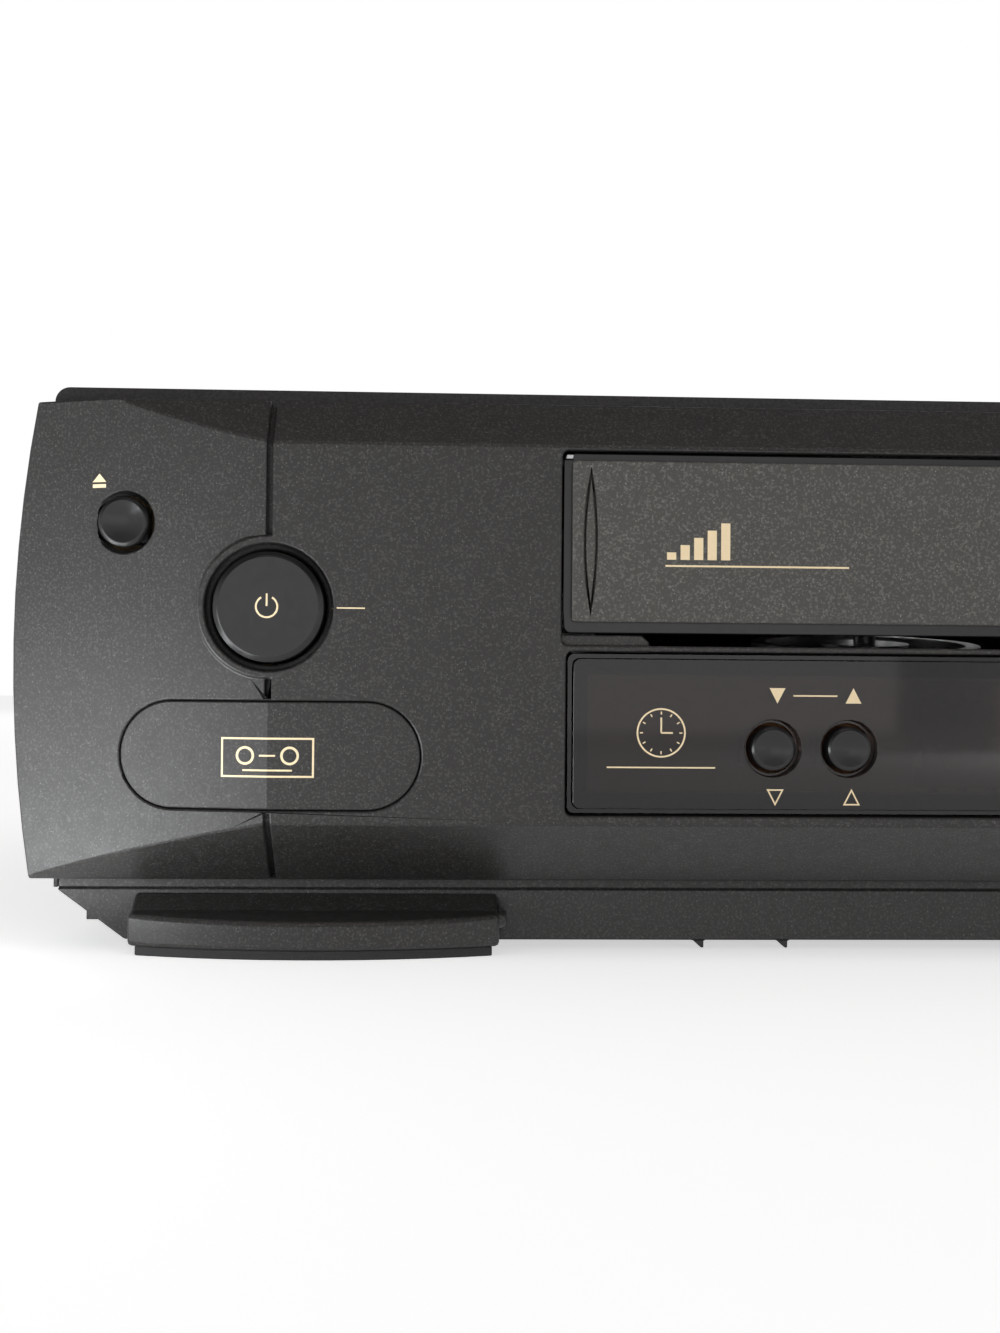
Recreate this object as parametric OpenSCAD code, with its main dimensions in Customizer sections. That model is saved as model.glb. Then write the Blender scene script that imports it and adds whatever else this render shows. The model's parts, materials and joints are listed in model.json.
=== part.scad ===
// Front-loading video cassette recorder with its tape mechanism.
// Millimetres. X is to the right, -Y is the front, +Z is up.
// The origin is on the table, under the middle of the recorder.

/* [Bezel] */
// Width of the bezel where it bows out most
bezel_w = 380; // [376:1:388]
// Front plane of the bezel, measured from the origin
front_y = -144; // [-146:0.5:-143]
// Depth of the bezel from its front plane to the cabinet
bezel_d = 18; // [17:0.5:19]
// Bottom edge of the bezel above the table
bezel_z0 = 12.1; // [11.5:0.1:12.5]
// Height of the bezel
bezel_h = 79.3; // [79:0.1:81]
// Wall of the bezel
bezel_wall = 2.5; // [2:0.1:2.6]
// Height of the slanted band along the top
top_bevel_h = 7.8; // [6:0.1:8]
// How far the top band leans back
top_bevel_d = 7; // [5:0.1:9]
// Height of the slanted band along the bottom
low_bevel_h = 10.3; // [8:0.1:11]
// How far the bottom band leans back
low_bevel_d = 12.9; // [10:0.1:14]
// Width of each cheek, from its upright groove to the side
cheek_w = 43.7; // [40:0.1:46]
// Width and depth of the grooves
groove_w = 1; // [0.6:0.1:1.4]
// How far each cheek falls back at its outer edge
cheek_d = 13.7; // [12:0.1:14]
// Slope of the cheek where it starts
cheek_angle = 12; // [9:0.5:15]
// Radius of the bowed sides, seen from the front
side_bow_r = 215; // [160:0.5:240]
// Height at which the sides bow out most
side_bow_z = 49.5; // [46:0.5:53]
// Front face of the kick plate, behind the front plane
kick_d = 16; // [15:0.1:16.5]
// How far the kick plate's ends lie inside the bezel's sides
kick_top_in = 7.4; // [7:0.1:10]
// How far its bottom corners lie inside the bezel's sides
kick_low_in = 18.6; // [14:0.1:20]
// Height at which the ends of the kick plate and of the tray start to slant in
slant_z = 9.9; // [8.5:0.1:10.2]

/* [Cassette door] */
// Half width of the opening
slot_x = 99.3; // [98.6:0.1:100]
// Lower edge of the opening
slot_z0 = 51.4; // [51:0.1:52]
// Upper edge of the opening
slot_z1 = 83; // [82.8:0.1:83.4]
// Gap between the door and the opening
door_gap = 0.4; // [0.3:0.05:0.5]
// Gap left open below the door
door_low_gap = 2.05; // [1.5:0.05:2.5]
// Thickness of the glossy door frame
door_frame_t = 1.3; // [1:0.05:1.4]
// Thickness of the matte door panel
door_panel_t = 1; // [0.8:0.05:1.1]
// Frame showing beside the panel and above it
door_margin = 1.3; // [0.5:0.1:1.5]
// Frame showing below the panel
door_low_margin = 1.8; // [1:0.05:2.5]
// Radius of the corners of the opening, the door and the window
corner_r = 1.2; // [0.8:0.1:1.6]
// Hinge axis behind the front plane
hinge_d = 2.1; // [1.9:0.05:2.3]
// Hinge axis below the upper edge of the opening
hinge_drop = 1.7; // [1.6:0.05:1.9]
// Radius of the hinge pins
hinge_pin_r = 0.9; // [0.7:0.05:1]

/* [Display window] */
// Half width of the window recess
window_x = 98.5; // [97:0.1:99]
// Lower edge of the window recess
window_z0 = 23.9; // [23.2:0.1:24.5]
// Upper edge of the window recess
window_z1 = 50.5; // [49.6:0.1:50.5]
// Width of the low rim round the glass
window_rim = 0.9; // [0.8:0.1:2.5]
// Thickness of the rim
window_rim_t = 1.4; // [1:0.1:1.6]
// Thickness of the window at its middle
window_t = 2.8; // [2.4:0.1:3]

/* [Cabinet] */
// Outer width of the steel cover
cover_w = 368; // [367:0.5:369]
// Top of the cover above the table
cover_top = 94.7; // [94:0.1:97]
// Sheet thickness of the cover
cover_t = 0.8; // [0.6:0.1:1]
// Outer radius of the cover's long bends
cover_r = 2.5; // [2:0.1:4]
// Lower edge of the cover
cover_z0 = 10; // [9:0.5:11]
// How far the cover reaches forward over the bezel
cover_lap = 2; // [1:0.1:3]
// Outer face of the rear panel, measured from the origin
rear_y = 136; // [135.5:0.1:136.4]
// Thickness of the rear panel
rear_t = 1.2; // [1:0.1:1.5]
// Gap between the table and the bottom tray
ground_gap = 1.6; // [1.6:0.1:2.2]
// Thickness of the tray's floor
tray_t = 2; // [1.6:0.1:2.2]
// Height of the tray's walls
tray_h = 11; // [9:0.5:12]
// Top of the front feet where they meet the kick plate
foot_back_z = 9.7; // [8:0.1:10.2]
// Top of the front feet at their front edge
foot_front_z = 6.1; // [5:0.1:7.5]
// Width of a front foot
foot_w = 61.2; // [50:0.1:70]
// Middle of a front foot from the bezel's side
foot_in = 50.9; // [48:0.1:60]

/* [Buttons] */
// Radius of the large round caps
big_cap_r = 8.9; // [8:0.1:9.5]
// Radius of the small round caps
small_cap_r = 4.1; // [3.8:0.1:4.6]
// Radius of the channel caps
channel_cap_r = 3.6; // [3:0.1:3.8]
// Gap round every cap
cap_gap = 0.45; // [0.35:0.05:0.6]
// How far the large caps stand out
cap_proud = 1; // [0.4:0.1:1]
// Travel of every button
press = 1; // [0.5:0.1:1.1]
// Height of the large round buttons
big_z = 57.1; // [54:0.1:60]
// Height of the eject and record buttons
eject_z = 71; // [69:0.1:74]
// Distance of the eject and record buttons from the bezel's side
eject_in = 19.6; // [18:0.1:24]
// Height of the channel buttons
channel_z = 35; // [32:0.1:38]
// Distance of the inner channel button from the middle
channel_x = 52.3; // [50:0.1:54]
// Distance between the channel buttons
channel_pitch = 12.45; // [11:0.05:14]
// Middle of the racetrack badge and of the racetrack keys
badge_z = 33.3; // [31:0.1:36]
// Length of the racetrack
badge_w = 49.3; // [44:0.1:52]
// Height of the racetrack
badge_h = 17.7; // [15:0.1:18.5]

/* [Tape mechanism] */
// Top face of the deck plate above the table
deck_z = 20.5; // [20:0.1:21]
// Thickness of the deck plate
deck_t = 1.5; // [1:0.1:1.6]
// Width of the cassette that the holder takes
cassette_w = 188; // [187:0.5:188]
// Thickness of the cassette
cassette_h = 25; // [24.5:0.1:25.2]
// Underside of the cassette when the holder is up
cassette_up_z = 53.5; // [53:0.1:53.8]
// How far the holder slides back
slide_back = 70; // [60:1:70]
// How far the holder then sinks
slide_down = 24; // [22:0.5:24]
// Depth of the holder
holder_d = 60; // [55:1:62]
// Sheet thickness of the holder
holder_t = 1; // [0.8:0.1:1.1]
// Radius of the four guide pins on the holder
guide_pin_r = 2; // [1.6:0.1:2.2]
// Distance of each reel from the middle
reel_x = 46; // [44:0.5:47]
// Reels behind the origin
reel_y = -60; // [-62:0.5:-58]
// Radius of the head drum
drum_r = 31; // [30:0.1:31]
// Middle of the head drum behind the origin
drum_y = 46; // [45:0.5:50]
// Tilt of the head drum
drum_tilt = 6; // [4:0.5:7]

/* [Sockets] */
// Outer radius of a phono socket's shell
phono_r = 4.15; // [4:0.05:4.25]
// Distance between phono sockets
phono_pitch = 14; // [13:0.5:18]
// Outer radius of an aerial socket
aerial_r = 4.7; // [4.5:0.05:4.9]
// How far the sockets reach out of the rear panel
socket_out = 9; // [8:0.5:9]

/* [Hidden] */
$fn = 48;
eps = 0.01;

// Finishes
black_gloss = [0.05, 0.05, 0.06];
charcoal = [0.17, 0.17, 0.17];
charcoal_light = [0.31, 0.31, 0.3];
smoked = [0.12, 0.07, 0.06];
steel = [0.72, 0.72, 0.74];
zinc = [0.62, 0.62, 0.6];
rubber_black = [0.08, 0.08, 0.08];
board_tan = [0.62, 0.45, 0.24];
gold = [0.83, 0.67, 0.36];
brass = [0.78, 0.7, 0.4];

// Derived levels and planes
half_w = bezel_w / 2;
groove_x = half_w - cheek_w;
eject_x = half_w - eject_in;
kick_top_x = half_w - kick_top_in;
kick_low_x = half_w - kick_low_in;
foot_x = half_w - foot_in;
bezel_back_y = front_y + bezel_d;
bezel_z1 = bezel_z0 + bezel_h;
kick_y = front_y + kick_d;
cabinet_y = bezel_back_y + 0.8;
cover_x = cover_w / 2;
tray_x = cover_x - cover_t - 0.8;
tray_low_x = tray_x - 11;
tray_y0 = kick_y + bezel_wall + 0.4;
tray_y1 = rear_y - rear_t - 0.4;
tray_top = ground_gap + tray_t;
board_z = tray_top + 3;
board_t = 1.6;
front_board_y = front_y + 15;
door_z0 = slot_z0 + door_low_gap;
door_z1 = slot_z1 - door_gap;
door_x = slot_x - door_gap;
hinge_y = front_y + hinge_d;
hinge_z = slot_z1 - hinge_drop;
channel_hole_r = channel_cap_r + 1.05;
big_hole_r = big_cap_r + 1.4;
small_hole_r = small_cap_r + 0.95;
boss_r = big_hole_r + 1.2;
// Depth of the dark ring round a cap
ring_depth = 1.9;
holder_in_x = cassette_w / 2 + 0.5;
holder_out_x = holder_in_x + holder_t;
bracket_in_x = holder_out_x + 1;
bracket_t = 1.2;
board_x = tray_x - 10.4;
deck_x = bracket_in_x + 10.5;
board_split_x = deck_x - 3;
power_x0 = board_split_x + 5;
power_w = board_x - power_x0;
holder_y0 = front_y + 17 + slide_back;
holder_z0 = cassette_up_z - holder_t;
holder_z1 = cassette_up_z + cassette_h + 0.5;
pin_clear = 0.2;
front_pin = [holder_y0 + 13.5, cassette_up_z + 4.5];
rear_pin = [holder_y0 + 48.5, cassette_up_z + 18.5];
capstan_at = [54, -9];
clutch_at = [0, -38];
reel_rim_r = 21.7;
idler_r = 11;
clutch_r = 6.7;
pinch_r = 7.5;

// Extrudes a shape drawn in Y and Z along X.
module along_x(x0, x1) {
    translate([x0, 0, 0]) rotate([90, 0, 90]) linear_extrude(x1 - x0) children();
}

// Extrudes a shape drawn in X and Z along Y.
module along_y(y0, y1) {
    translate([0, y1, 0]) rotate([90, 0, 0]) linear_extrude(y1 - y0) children();
}

// A plain block between two corners.
module block(low, high) {
    translate(low) cube(high - low);
}

// A cylinder along Y, from y0 to y1.
module rod_y(x, z, r, y0, y1) {
    translate([x, y1, z]) rotate([90, 0, 0]) cylinder(r = r, h = y1 - y0);
}

// A cylinder along X, from x0 to x1.
module rod_x(y, z, r, x0, x1) {
    translate([x0, y, z]) rotate([0, 90, 0]) cylinder(r = r, h = x1 - x0);
}

// A cylinder along Z, from z0 to z1.
module post(at, r, z0, z1) {
    translate([at.x, at.y, z0]) cylinder(r = r, h = z1 - z0);
}

// The shape and its mirror image on the other side.
module both_sides() {
    children();
    mirror([1, 0, 0]) children();
}

function unit(v) = v / norm(v);
function inward(p, q) = let(e = unit(q - p)) [-e.y, e.x];
// Moves every edge of a counter-clockwise outline inwards by d.
function inset_outline(pts, d) = let(n = len(pts)) [
    for (i = [0 : n - 1])
        let(n1 = inward(pts[(i + n - 1) % n], pts[i]), n2 = inward(pts[i], pts[(i + 1) % n]))
        pts[i] + d * (n1 + n2) / (1 + n1 * n2)
];

// Cheek: an arc in plan that starts at the groove and falls back to the side.
cheek_chord = norm([cheek_w, cheek_d]);
cheek_r = cheek_chord / 2 / sin(atan2(cheek_d, cheek_w) - cheek_angle);
cheek_end_angle = 2 * atan2(cheek_d, cheek_w) - cheek_angle;
// How far the cheek lies behind the front plane at a distance u past the groove.
function cheek_fall(u) = cheek_r * (cos(cheek_angle) - sqrt(1 - pow(u / cheek_r + sin(cheek_angle), 2)));
function cheek_y(x) = front_y + (x > groove_x ? cheek_fall(x - groove_x) : 0);
cheek_steps = 8;
cheek_points = [
    for (i = [0 : cheek_steps]) let(x = groove_x + cheek_w * i / cheek_steps) [x, cheek_y(x)]
];
function mirrored(pts) = [for (i = [len(pts) - 1 : -1 : 0]) [-pts[i].x, pts[i].y]];
function plan_outline(back) = concat(
    mirrored(cheek_points), cheek_points, [[half_w, back], [-half_w, back]]
);
function side_outline(back) = [
    [front_y + low_bevel_d, bezel_z0], [back, bezel_z0], [back, bezel_z1],
    [front_y + top_bevel_d, bezel_z1], [front_y, bezel_z1 - top_bevel_h],
    [front_y, bezel_z0 + low_bevel_h]
];
bow_steps = 10;
bow_points = [
    for (i = [0 : bow_steps])
        let(z = bezel_z0 + bezel_h * i / bow_steps, rise = z - side_bow_z)
        [half_w - side_bow_r + sqrt(pow(side_bow_r, 2) - pow(rise, 2)), z]
];
function front_outline() = concat(bow_points, mirrored(bow_points));

// The bezel's solid form, with every face moved inwards by d and the back left open.
module bezel_form(d) {
    back = bezel_back_y + (d > 0 ? d + 1 : 0);
    reach = bezel_d + 4;
    intersection() {
        translate([0, 0, bezel_z0 - 1]) linear_extrude(bezel_h + 2)
            polygon(inset_outline(plan_outline(back), d));
        along_x(-half_w - 1, half_w + 1) polygon(inset_outline(side_outline(back), d));
        along_y(front_y - 1, front_y + reach) polygon(inset_outline(front_outline(), d));
    }
}

// A flat outline with full round ends.
module racetrack(w, h) {
    square([w - h, h], center = true);
    for (s = [-1, 1]) translate([s * (w - h) / 2, 0]) circle(d = h);
}

// A rectangle with round corners.
module soft_rect(low, high, r) {
    translate([low.x + r, low.y]) square([high.x - low.x - 2 * r, high.y - low.y]);
    translate([low.x, low.y + r]) square([high.x - low.x, high.y - low.y - 2 * r]);
    for (x = [low.x + r, high.x - r], y = [low.y + r, high.y - r]) translate([x, y]) circle(r = r, $fn = 24);
}

module groove_cuts() {
    difference() {
        for (s = [-1, 1])
            block([s * groove_x - groove_w / 2, front_y - 1, bezel_z0 - 1],
                  [s * groove_x + groove_w / 2, bezel_back_y - 3, bezel_z1 + 1]);
        bezel_form(groove_w);
        both_sides() big_button_boss();
        both_sides() translate([0, front_y + 3, 0]) along_y(-4, 2)
            translate([groove_x, badge_z]) racetrack(badge_w + 1, badge_h + 1);
    }
}

// Flat round boss that carries the ring of a large button on the cheek.
module big_button_boss() {
    boss_back_y = front_y + 10;
    intersection() {
        translate([groove_x, boss_back_y, big_z]) rotate([90, 0, 0])
            cylinder(r1 = boss_r + 0.9, r2 = boss_r, h = boss_back_y - front_y, $fn = 64);
        block([groove_x - groove_w / 2 - 1, front_y, bezel_z0], [half_w, boss_back_y, bezel_z1]);
    }
}

module button_holes() {
    deep_y = bezel_back_y + 1;
    both_sides() rod_y(groove_x, big_z, big_cap_r + cap_gap, front_y - 1, deep_y);
    both_sides() rod_y(groove_x, big_z, big_hole_r, front_y - 1, front_y + ring_depth);
    both_sides() rod_y(eject_x, eject_z, small_cap_r + cap_gap, front_y - 1, deep_y);
    both_sides() rod_y(eject_x, eject_z, small_hole_r, front_y - 1, cheek_y(eject_x) + ring_depth - 0.4);
    for (x = tape_key_x)
        rod_y(x, big_z, small_cap_r + cap_gap, front_y - 1, deep_y);
}

// Rewind sits on the flat face, fast-forward on the cheek.
tape_key_x = [groove_x - 23.5, groove_x + 23.5];

// Ears behind the front wall that hold the ends of the door's hinge.
module hinge_ears() {
    ear_w = 4;
    both_sides() difference() {
        block([slot_x, front_y + bezel_wall - 1, hinge_z - 3], [slot_x + ear_w, hinge_y + 2.6, hinge_z + 3]);
    }
}

module front_bezel() {
    ledge_y = front_y + window_t;
    ledge = 4;
    sill_t = 1.2;
    color(charcoal) {
        difference() {
            union() {
                difference() {
                    bezel_form(0);
                    bezel_form(bezel_wall);
                }
                both_sides() intersection() {
                    big_button_boss();
                    bezel_form(-0.01);
                }
                both_sides() big_button_boss();
                hinge_ears();
                // Step behind the window that the glass is glued to
                block([-window_x - 2, front_y + 1, window_z0 - 1.2],
                      [window_x + 2, ledge_y + 1.6, window_z1 + 0.9]);
                badge_seat();
                kick_plate();
                // Sill that the cassette slides over
                block([-slot_x - 2, front_y + bezel_wall - 1, slot_z0 - sill_t],
                      [slot_x + 2, front_board_y - 1, slot_z0]);
            }
            groove_cuts();
            button_holes();
            // Cassette opening
            along_y(front_y - 1, front_y + bezel_wall + 1)
                soft_rect([-slot_x, slot_z0], [slot_x, slot_z1], corner_r);
            both_sides() rod_x(hinge_y, hinge_z, hinge_pin_r + 0.05, slot_x - 1, slot_x + 2.6);
            // Window recess and the opening behind it
            along_y(front_y - 1, ledge_y) window_outline(0);
            block([-window_x + ledge, front_y, window_z0 + ledge],
                  [window_x - ledge, front_y + bezel_wall + 4, window_z1 - ledge]);
            // Badge recess on the left, key opening on the right
            along_y(front_y - 1, front_y + 20) translate([groove_x, badge_z])
                racetrack(badge_w, badge_h);
            badge_recess();
        }
        sill_blocks();
    }
}

// Low blocks that fill the ends of the gap under the door.
module sill_blocks() {
    block_w = 14.4;
    top = door_z0 - 0.35;
    both_sides() along_y(front_y + 0.9, front_y + bezel_wall + 1) polygon([
        [slot_x - block_w, slot_z0 - 1], [slot_x + 1, slot_z0 - 1], [slot_x + 1, top],
        [slot_x - block_w + 1.2, top], [slot_x - block_w, slot_z0 + 0.6]
    ]);
}

// Wall behind the badge, thick enough for the flat face and the cheek alike.
module badge_seat() {
    intersection() {
        bezel_form(bezel_wall - 1);
        block([-groove_x - badge_w / 2 - 1.5, front_y, badge_z - badge_h / 2 - 1.5],
              [-groove_x + badge_w / 2 + 1.5, cheek_y(groove_x + badge_w / 2) + 2.2,
               badge_z + badge_h / 2 + 1.5]);
    }
}

// The badge's recess follows the flat face and the cheek.
module badge_recess() {
    difference() {
        along_y(front_y - 1, front_y + 16) translate([-groove_x, badge_z])
            racetrack(badge_w, badge_h);
        bezel_form(0.9);
    }
}

module kick_plate() {
    step_z = slant_z + 0.3;
    difference() {
        along_y(kick_y, kick_y + bezel_wall) polygon([
            [-kick_low_x, ground_gap], [kick_low_x, ground_gap], [kick_top_x, slant_z],
            [kick_top_x, bezel_z0 + 1], [-kick_top_x, bezel_z0 + 1], [-kick_top_x, slant_z]
        ]);
        // Shallow step under the bezel
        block([-half_w, kick_y - 1, step_z], [half_w, kick_y + 0.5, bezel_z0]);
    }
    // Snap hooks under the kick plate
    for (x = [-73.5, -59, 59, 73.5])
        along_y(kick_y + 0.4, kick_y + 2)
            polygon([[x - 1.6, ground_gap + eps], [x, ground_gap - 1.4], [x + 0.4, ground_gap - 1.4],
                     [x + 0.4, ground_gap + eps]]);
}

module badge_plate() {
    gap = 0.25;
    color(charcoal_light)
        intersection() {
            along_y(front_y - 1, front_y + 16) translate([-groove_x, badge_z])
                racetrack(badge_w - 2 * gap, badge_h - 2 * gap);
            difference() {
                bezel_form(0.05);
                bezel_form(0.9);
            }
        }
}

module window_outline(d) {
    soft_rect([-window_x + d, window_z0 + d], [window_x - d, window_z1 - d], corner_r);
}

module display_window() {
    gap = 0.3;
    back_y = front_y + window_t;
    color(smoked)
        difference() {
            union() {
                along_y(back_y - window_rim_t, back_y) window_outline(gap);
                along_y(front_y, back_y - window_rim_t + eps) window_outline(gap + window_rim);
            }
            for (x = [channel_x, channel_x + channel_pitch])
                rod_y(-x, channel_z, channel_cap_r + cap_gap, front_y - 1, back_y + 1);
            for (x = [channel_x, channel_x + channel_pitch])
                rod_y(-x, channel_z, channel_hole_r, front_y - 1, front_y + ring_depth);
        }
}

module door_frame() {
    y0 = front_y + door_panel_t;
    y1 = y0 + door_frame_t;
    lug_w = 1.8;
    rib_d = 1.4;
    knuckle_r = hinge_d - door_panel_t - 0.05;
    color(black_gloss) {
        difference() {
            along_y(y0, y1) soft_rect([-door_x, door_z0], [door_x, door_z1], corner_r);
            // Corner cut away in front of the hinge
            block([-door_x - 1, y0 - 1, door_z1 - 1.2], [-door_x + 1.5, y0 + 0.8, door_z1 + 1]);
        }
        // Turned-in lower lip and two stiffening ribs
        block([-door_x, y1 - eps, door_z0], [door_x, y1 + rib_d, door_z0 + 1]);
        for (z = [door_z0 + 8, door_z0 + 16])
            block([-door_x + 6, y1 - eps, z], [door_x - 6, y1 + rib_d, z + 1]);
        both_sides() {
            block([door_x - lug_w, y1 - eps, hinge_z - 6], [door_x, hinge_y + knuckle_r, hinge_z]);
            rod_x(hinge_y, hinge_z, knuckle_r, door_x - lug_w, door_x);
            rod_x(hinge_y, hinge_z, hinge_pin_r, door_x - lug_w, slot_x + 2.2);
        }
    }
}

// A lens outline: two arcs, w wide and h high.
module lens_outline(w, h) {
    r = (w * w + h * h) / (4 * w);
    intersection_for(s = [-1, 1])
        translate([s * (r - w / 2), 0]) circle(r = r, $fn = 180);
}

// The matte panel, with a lens-shaped finger mark near each end: a fine groove round a shallow hollow.
module door_panel() {
    lens_w = 2.3;
    lens_h = 24.4;
    lens_line = 0.35;
    lens_x = door_x - door_margin - 3;
    mid_z = (door_z0 + door_low_margin + door_z1 - door_margin) / 2;
    color(charcoal_light)
        difference() {
            along_y(front_y, front_y + door_panel_t)
                soft_rect([-door_x + door_margin, door_z0 + door_low_margin],
                          [door_x - door_margin, door_z1 - door_margin], corner_r / 2);
            both_sides() {
                along_y(front_y - 1, front_y + 0.6) translate([lens_x, mid_z])
                    difference() {
                        lens_outline(lens_w, lens_h);
                        lens_outline(lens_w - 2 * lens_line, lens_h - 4);
                    }
                along_y(front_y - 1, front_y + 0.15) translate([lens_x, mid_z])
                    lens_outline(lens_w - 0.1, lens_h - 1);
            }
        }
}

// Cabinet

module cover_profile(d) {
    x = cover_x - d;
    r = cover_r - d;
    z1 = cover_top - d;
    square_z = z1 - r;
    translate([-x, cover_z0 - (d > 0 ? 1 : 0)]) square([2 * x, square_z - cover_z0 + (d > 0 ? 1 : 0)]);
    translate([-x + r, square_z - eps]) square([2 * (x - r), r + eps]);
    for (s = [-1, 1]) translate([s * (x - r), square_z]) circle(r = r);
}

module top_cover() {
    y0 = cabinet_y;
    y1 = rear_y + 1;
    lip_y = bezel_back_y - cover_lap;
    vent_w = 2.2;
    vent_h = 20;
    color(charcoal)
        difference() {
            union() {
                along_y(lip_y, y1) cover_profile(0);
            }
            along_y(lip_y + cover_t, y1 + 1) cover_profile(cover_t);
            // Room for the bezel in front of the sides
            block([-cover_x - 1, lip_y - 1, cover_z0 - 2], [cover_x + 1, y0, bezel_z1 + 0.3]);
            // Cooling slots in the sides and the top
            for (i = [0 : 13])
                block([-cover_x - 1, 60 + 5 * i, 62], [cover_x + 1, 60 + 5 * i + vent_w, 62 + vent_h]);
            for (i = [0 : 15])
                block([-cover_x + 14, 48 + 5 * i, cover_top - 3],
                      [-cover_x + 54, 48 + 5 * i + vent_w, cover_top + 1]);
            for (y = cover_screw_y)
                rod_x(y, cover_screw_z, 1.9, -cover_x - 1, cover_x + 1);
        }
}

cover_screw_y = [-96, 96];
cover_screw_z = 24;

module cover_screws() {
    color(black_gloss) both_sides() for (y = cover_screw_y) {
        difference() {
            union() {
                rod_x(y, cover_screw_z, 3.6, cover_x, cover_x + 1.6);
                rod_x(y, cover_screw_z, 1.5, cover_x - 8, cover_x + 0.1);
            }
            for (a = [0, 90])
                translate([cover_x + 1.6, y, cover_screw_z]) rotate([a, 0, 0])
                    cube([1.8, 0.7, 4], center = true);
        }
    }
}

// Section of the tray, with every face moved inwards by d. Its lower corners slant in.
module tray_section(d, top) {
    polygon(inset_outline([
        [-tray_low_x, ground_gap], [tray_low_x, ground_gap], [tray_x, slant_z], [tray_x, top + d],
        [-tray_x, top + d], [-tray_x, slant_z]
    ], d));
}

module bottom_chassis() {
    wall = 1.6;
    top = ground_gap + tray_h;
    left_slots_x = -tray_low_x + 5;
    slot_w = 2.4;
    color(charcoal) {
        difference() {
            along_y(tray_y0, tray_y1) tray_section(0, top);
            intersection() {
                along_y(tray_y0 + wall, tray_y1 - wall) tray_section(wall, top + 1);
                block([-tray_x, tray_y0, tray_top], [tray_x, tray_y1, top + 1]);
            }
            // The back wall is low, under the sockets
            block([-tray_x - 1, tray_y1 - wall - 1, tray_top + 2], [tray_x + 1, tray_y1 + 1, top + 1]);
            // Cooling slots in the floor
            for (i = [0 : 9])
                block([power_x0 + 9 + 5 * i, 30, ground_gap - 1],
                      [power_x0 + 9 + 5 * i + slot_w, 76, tray_top + 1]);
            for (i = [0 : 13])
                block([left_slots_x + 5 * i, -60, ground_gap - 1],
                      [left_slots_x + 5 * i + slot_w, -20, tray_top + 1]);
        }
        // Screw blocks for the cover
        both_sides() for (y = cover_screw_y)
            difference() {
                intersection() {
                    block([tray_x - 9, y - 5, tray_top - eps], [tray_x, y + 5, cover_screw_z + 5]);
                    along_y(y - 6, y + 6) tray_section(0, cover_screw_z + 5);
                }
                rod_x(y, cover_screw_z, 1.55, tray_x - 10, tray_x + 1);
            }
        // Small lugs at the front corners
        both_sides() block([tray_low_x, tray_y0, slant_z - 5.4], [tray_low_x + 7, tray_y0 + 3, slant_z - 3.8]);
        // Posts under the boards
        for (x = [-board_x + 3, -60, 60, board_x - 3], y = [-104, 12, 118])
            post([x, y], 3, tray_top - eps, board_z);
        // Columns under the deck
        for (x = deck_column_x, y = deck_column_y)
            post([x, y], 4, tray_top - eps, deck_z - deck_t);
    }
}

deck_column_x = [-(deck_x - 7), deck_x - 7];
deck_column_y = [-100, 84];
deck_y0 = -110;
deck_y1 = 90;

module front_foot(side) {
    y1 = kick_y;
    front = front_y + 3;
    end_front = front + 5.5;
    bow_r = (pow(foot_w / 2, 2) + pow(5.5, 2)) / (2 * 5.5);
    intersection() {
        translate([side * foot_x, front + bow_r, ground_gap]) cylinder(r = bow_r, h = 12, $fn = 180);
        along_x(side * foot_x - foot_w / 2, side * foot_x + foot_w / 2) polygon([
            [front - 1, ground_gap], [y1, ground_gap], [y1, foot_back_z],
            [end_front + 3, foot_front_z + 1], [front - 1, foot_front_z]
        ]);
    }
    // Stub at the inner end
    inner_x = foot_x - foot_w / 2;
    mirror([side > 0 ? 0 : 1, 0, 0]) rod_x(y1 - 2.6, ground_gap + 4, 1.5, inner_x - 1.4, inner_x + 1);
}

module front_feet() {
    color(charcoal) for (side = [-1, 1]) front_foot(side);
}

module foot_pads() {
    inset = 1.2;
    pad_back = kick_y + 24;
    front = front_y + 3 + 0.8;
    bow_r = (pow(foot_w / 2, 2) + pow(5.5, 2)) / (2 * 5.5);
    color(rubber_black) {
        for (side = [-1, 1]) {
            intersection() {
                translate([side * foot_x, front + bow_r, 0]) cylinder(r = bow_r, h = ground_gap, $fn = 180);
                block([side * foot_x - foot_w / 2 + inset, front - 1, 0],
                      [side * foot_x + foot_w / 2 - inset, pad_back, ground_gap]);
            }
            translate([side * (tray_x - 32.4), 104, 0]) cylinder(r1 = 10, r2 = 11, h = ground_gap);
        }
    }
}

// Rear panel and its sockets

aerial_at = [[-tray_x + 30.4, 22], [-tray_x + 30.4, 46]];
phono_x0 = aerial_at[0].x + 40;
phono_z = [24, 42];
inlet_at = [tray_x - 32.4, 24];
inlet_w = 21;
inlet_h = 11;

module rear_panel() {
    y0 = rear_y - rear_t;
    color(charcoal)
        difference() {
            intersection() {
                block([-tray_x, y0, tray_top + 0.2], [tray_x, rear_y, cover_top - cover_t - 0.5]);
                along_y(y0 - 1, rear_y + 1) tray_section(0, cover_top);
            }
            for (at = aerial_at) rod_y(at.x, at.y, aerial_r + 1.4, y0 - 1, rear_y + 1);
            for (i = [0 : 2], z = phono_z)
                rod_y(phono_x0 + i * phono_pitch, z, phono_r + 1.2, y0 - 1, rear_y + 1);
            along_y(y0 - 1, rear_y + 1) translate(inlet_at) racetrack(inlet_w + 0.8, inlet_h + 0.8);
            // Cooling slots
            for (i = [0 : 15])
                block([20 + 5 * i, y0 - 1, 67], [20 + 5 * i + 2.2, rear_y + 1, 86]);
        }
}

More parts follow.
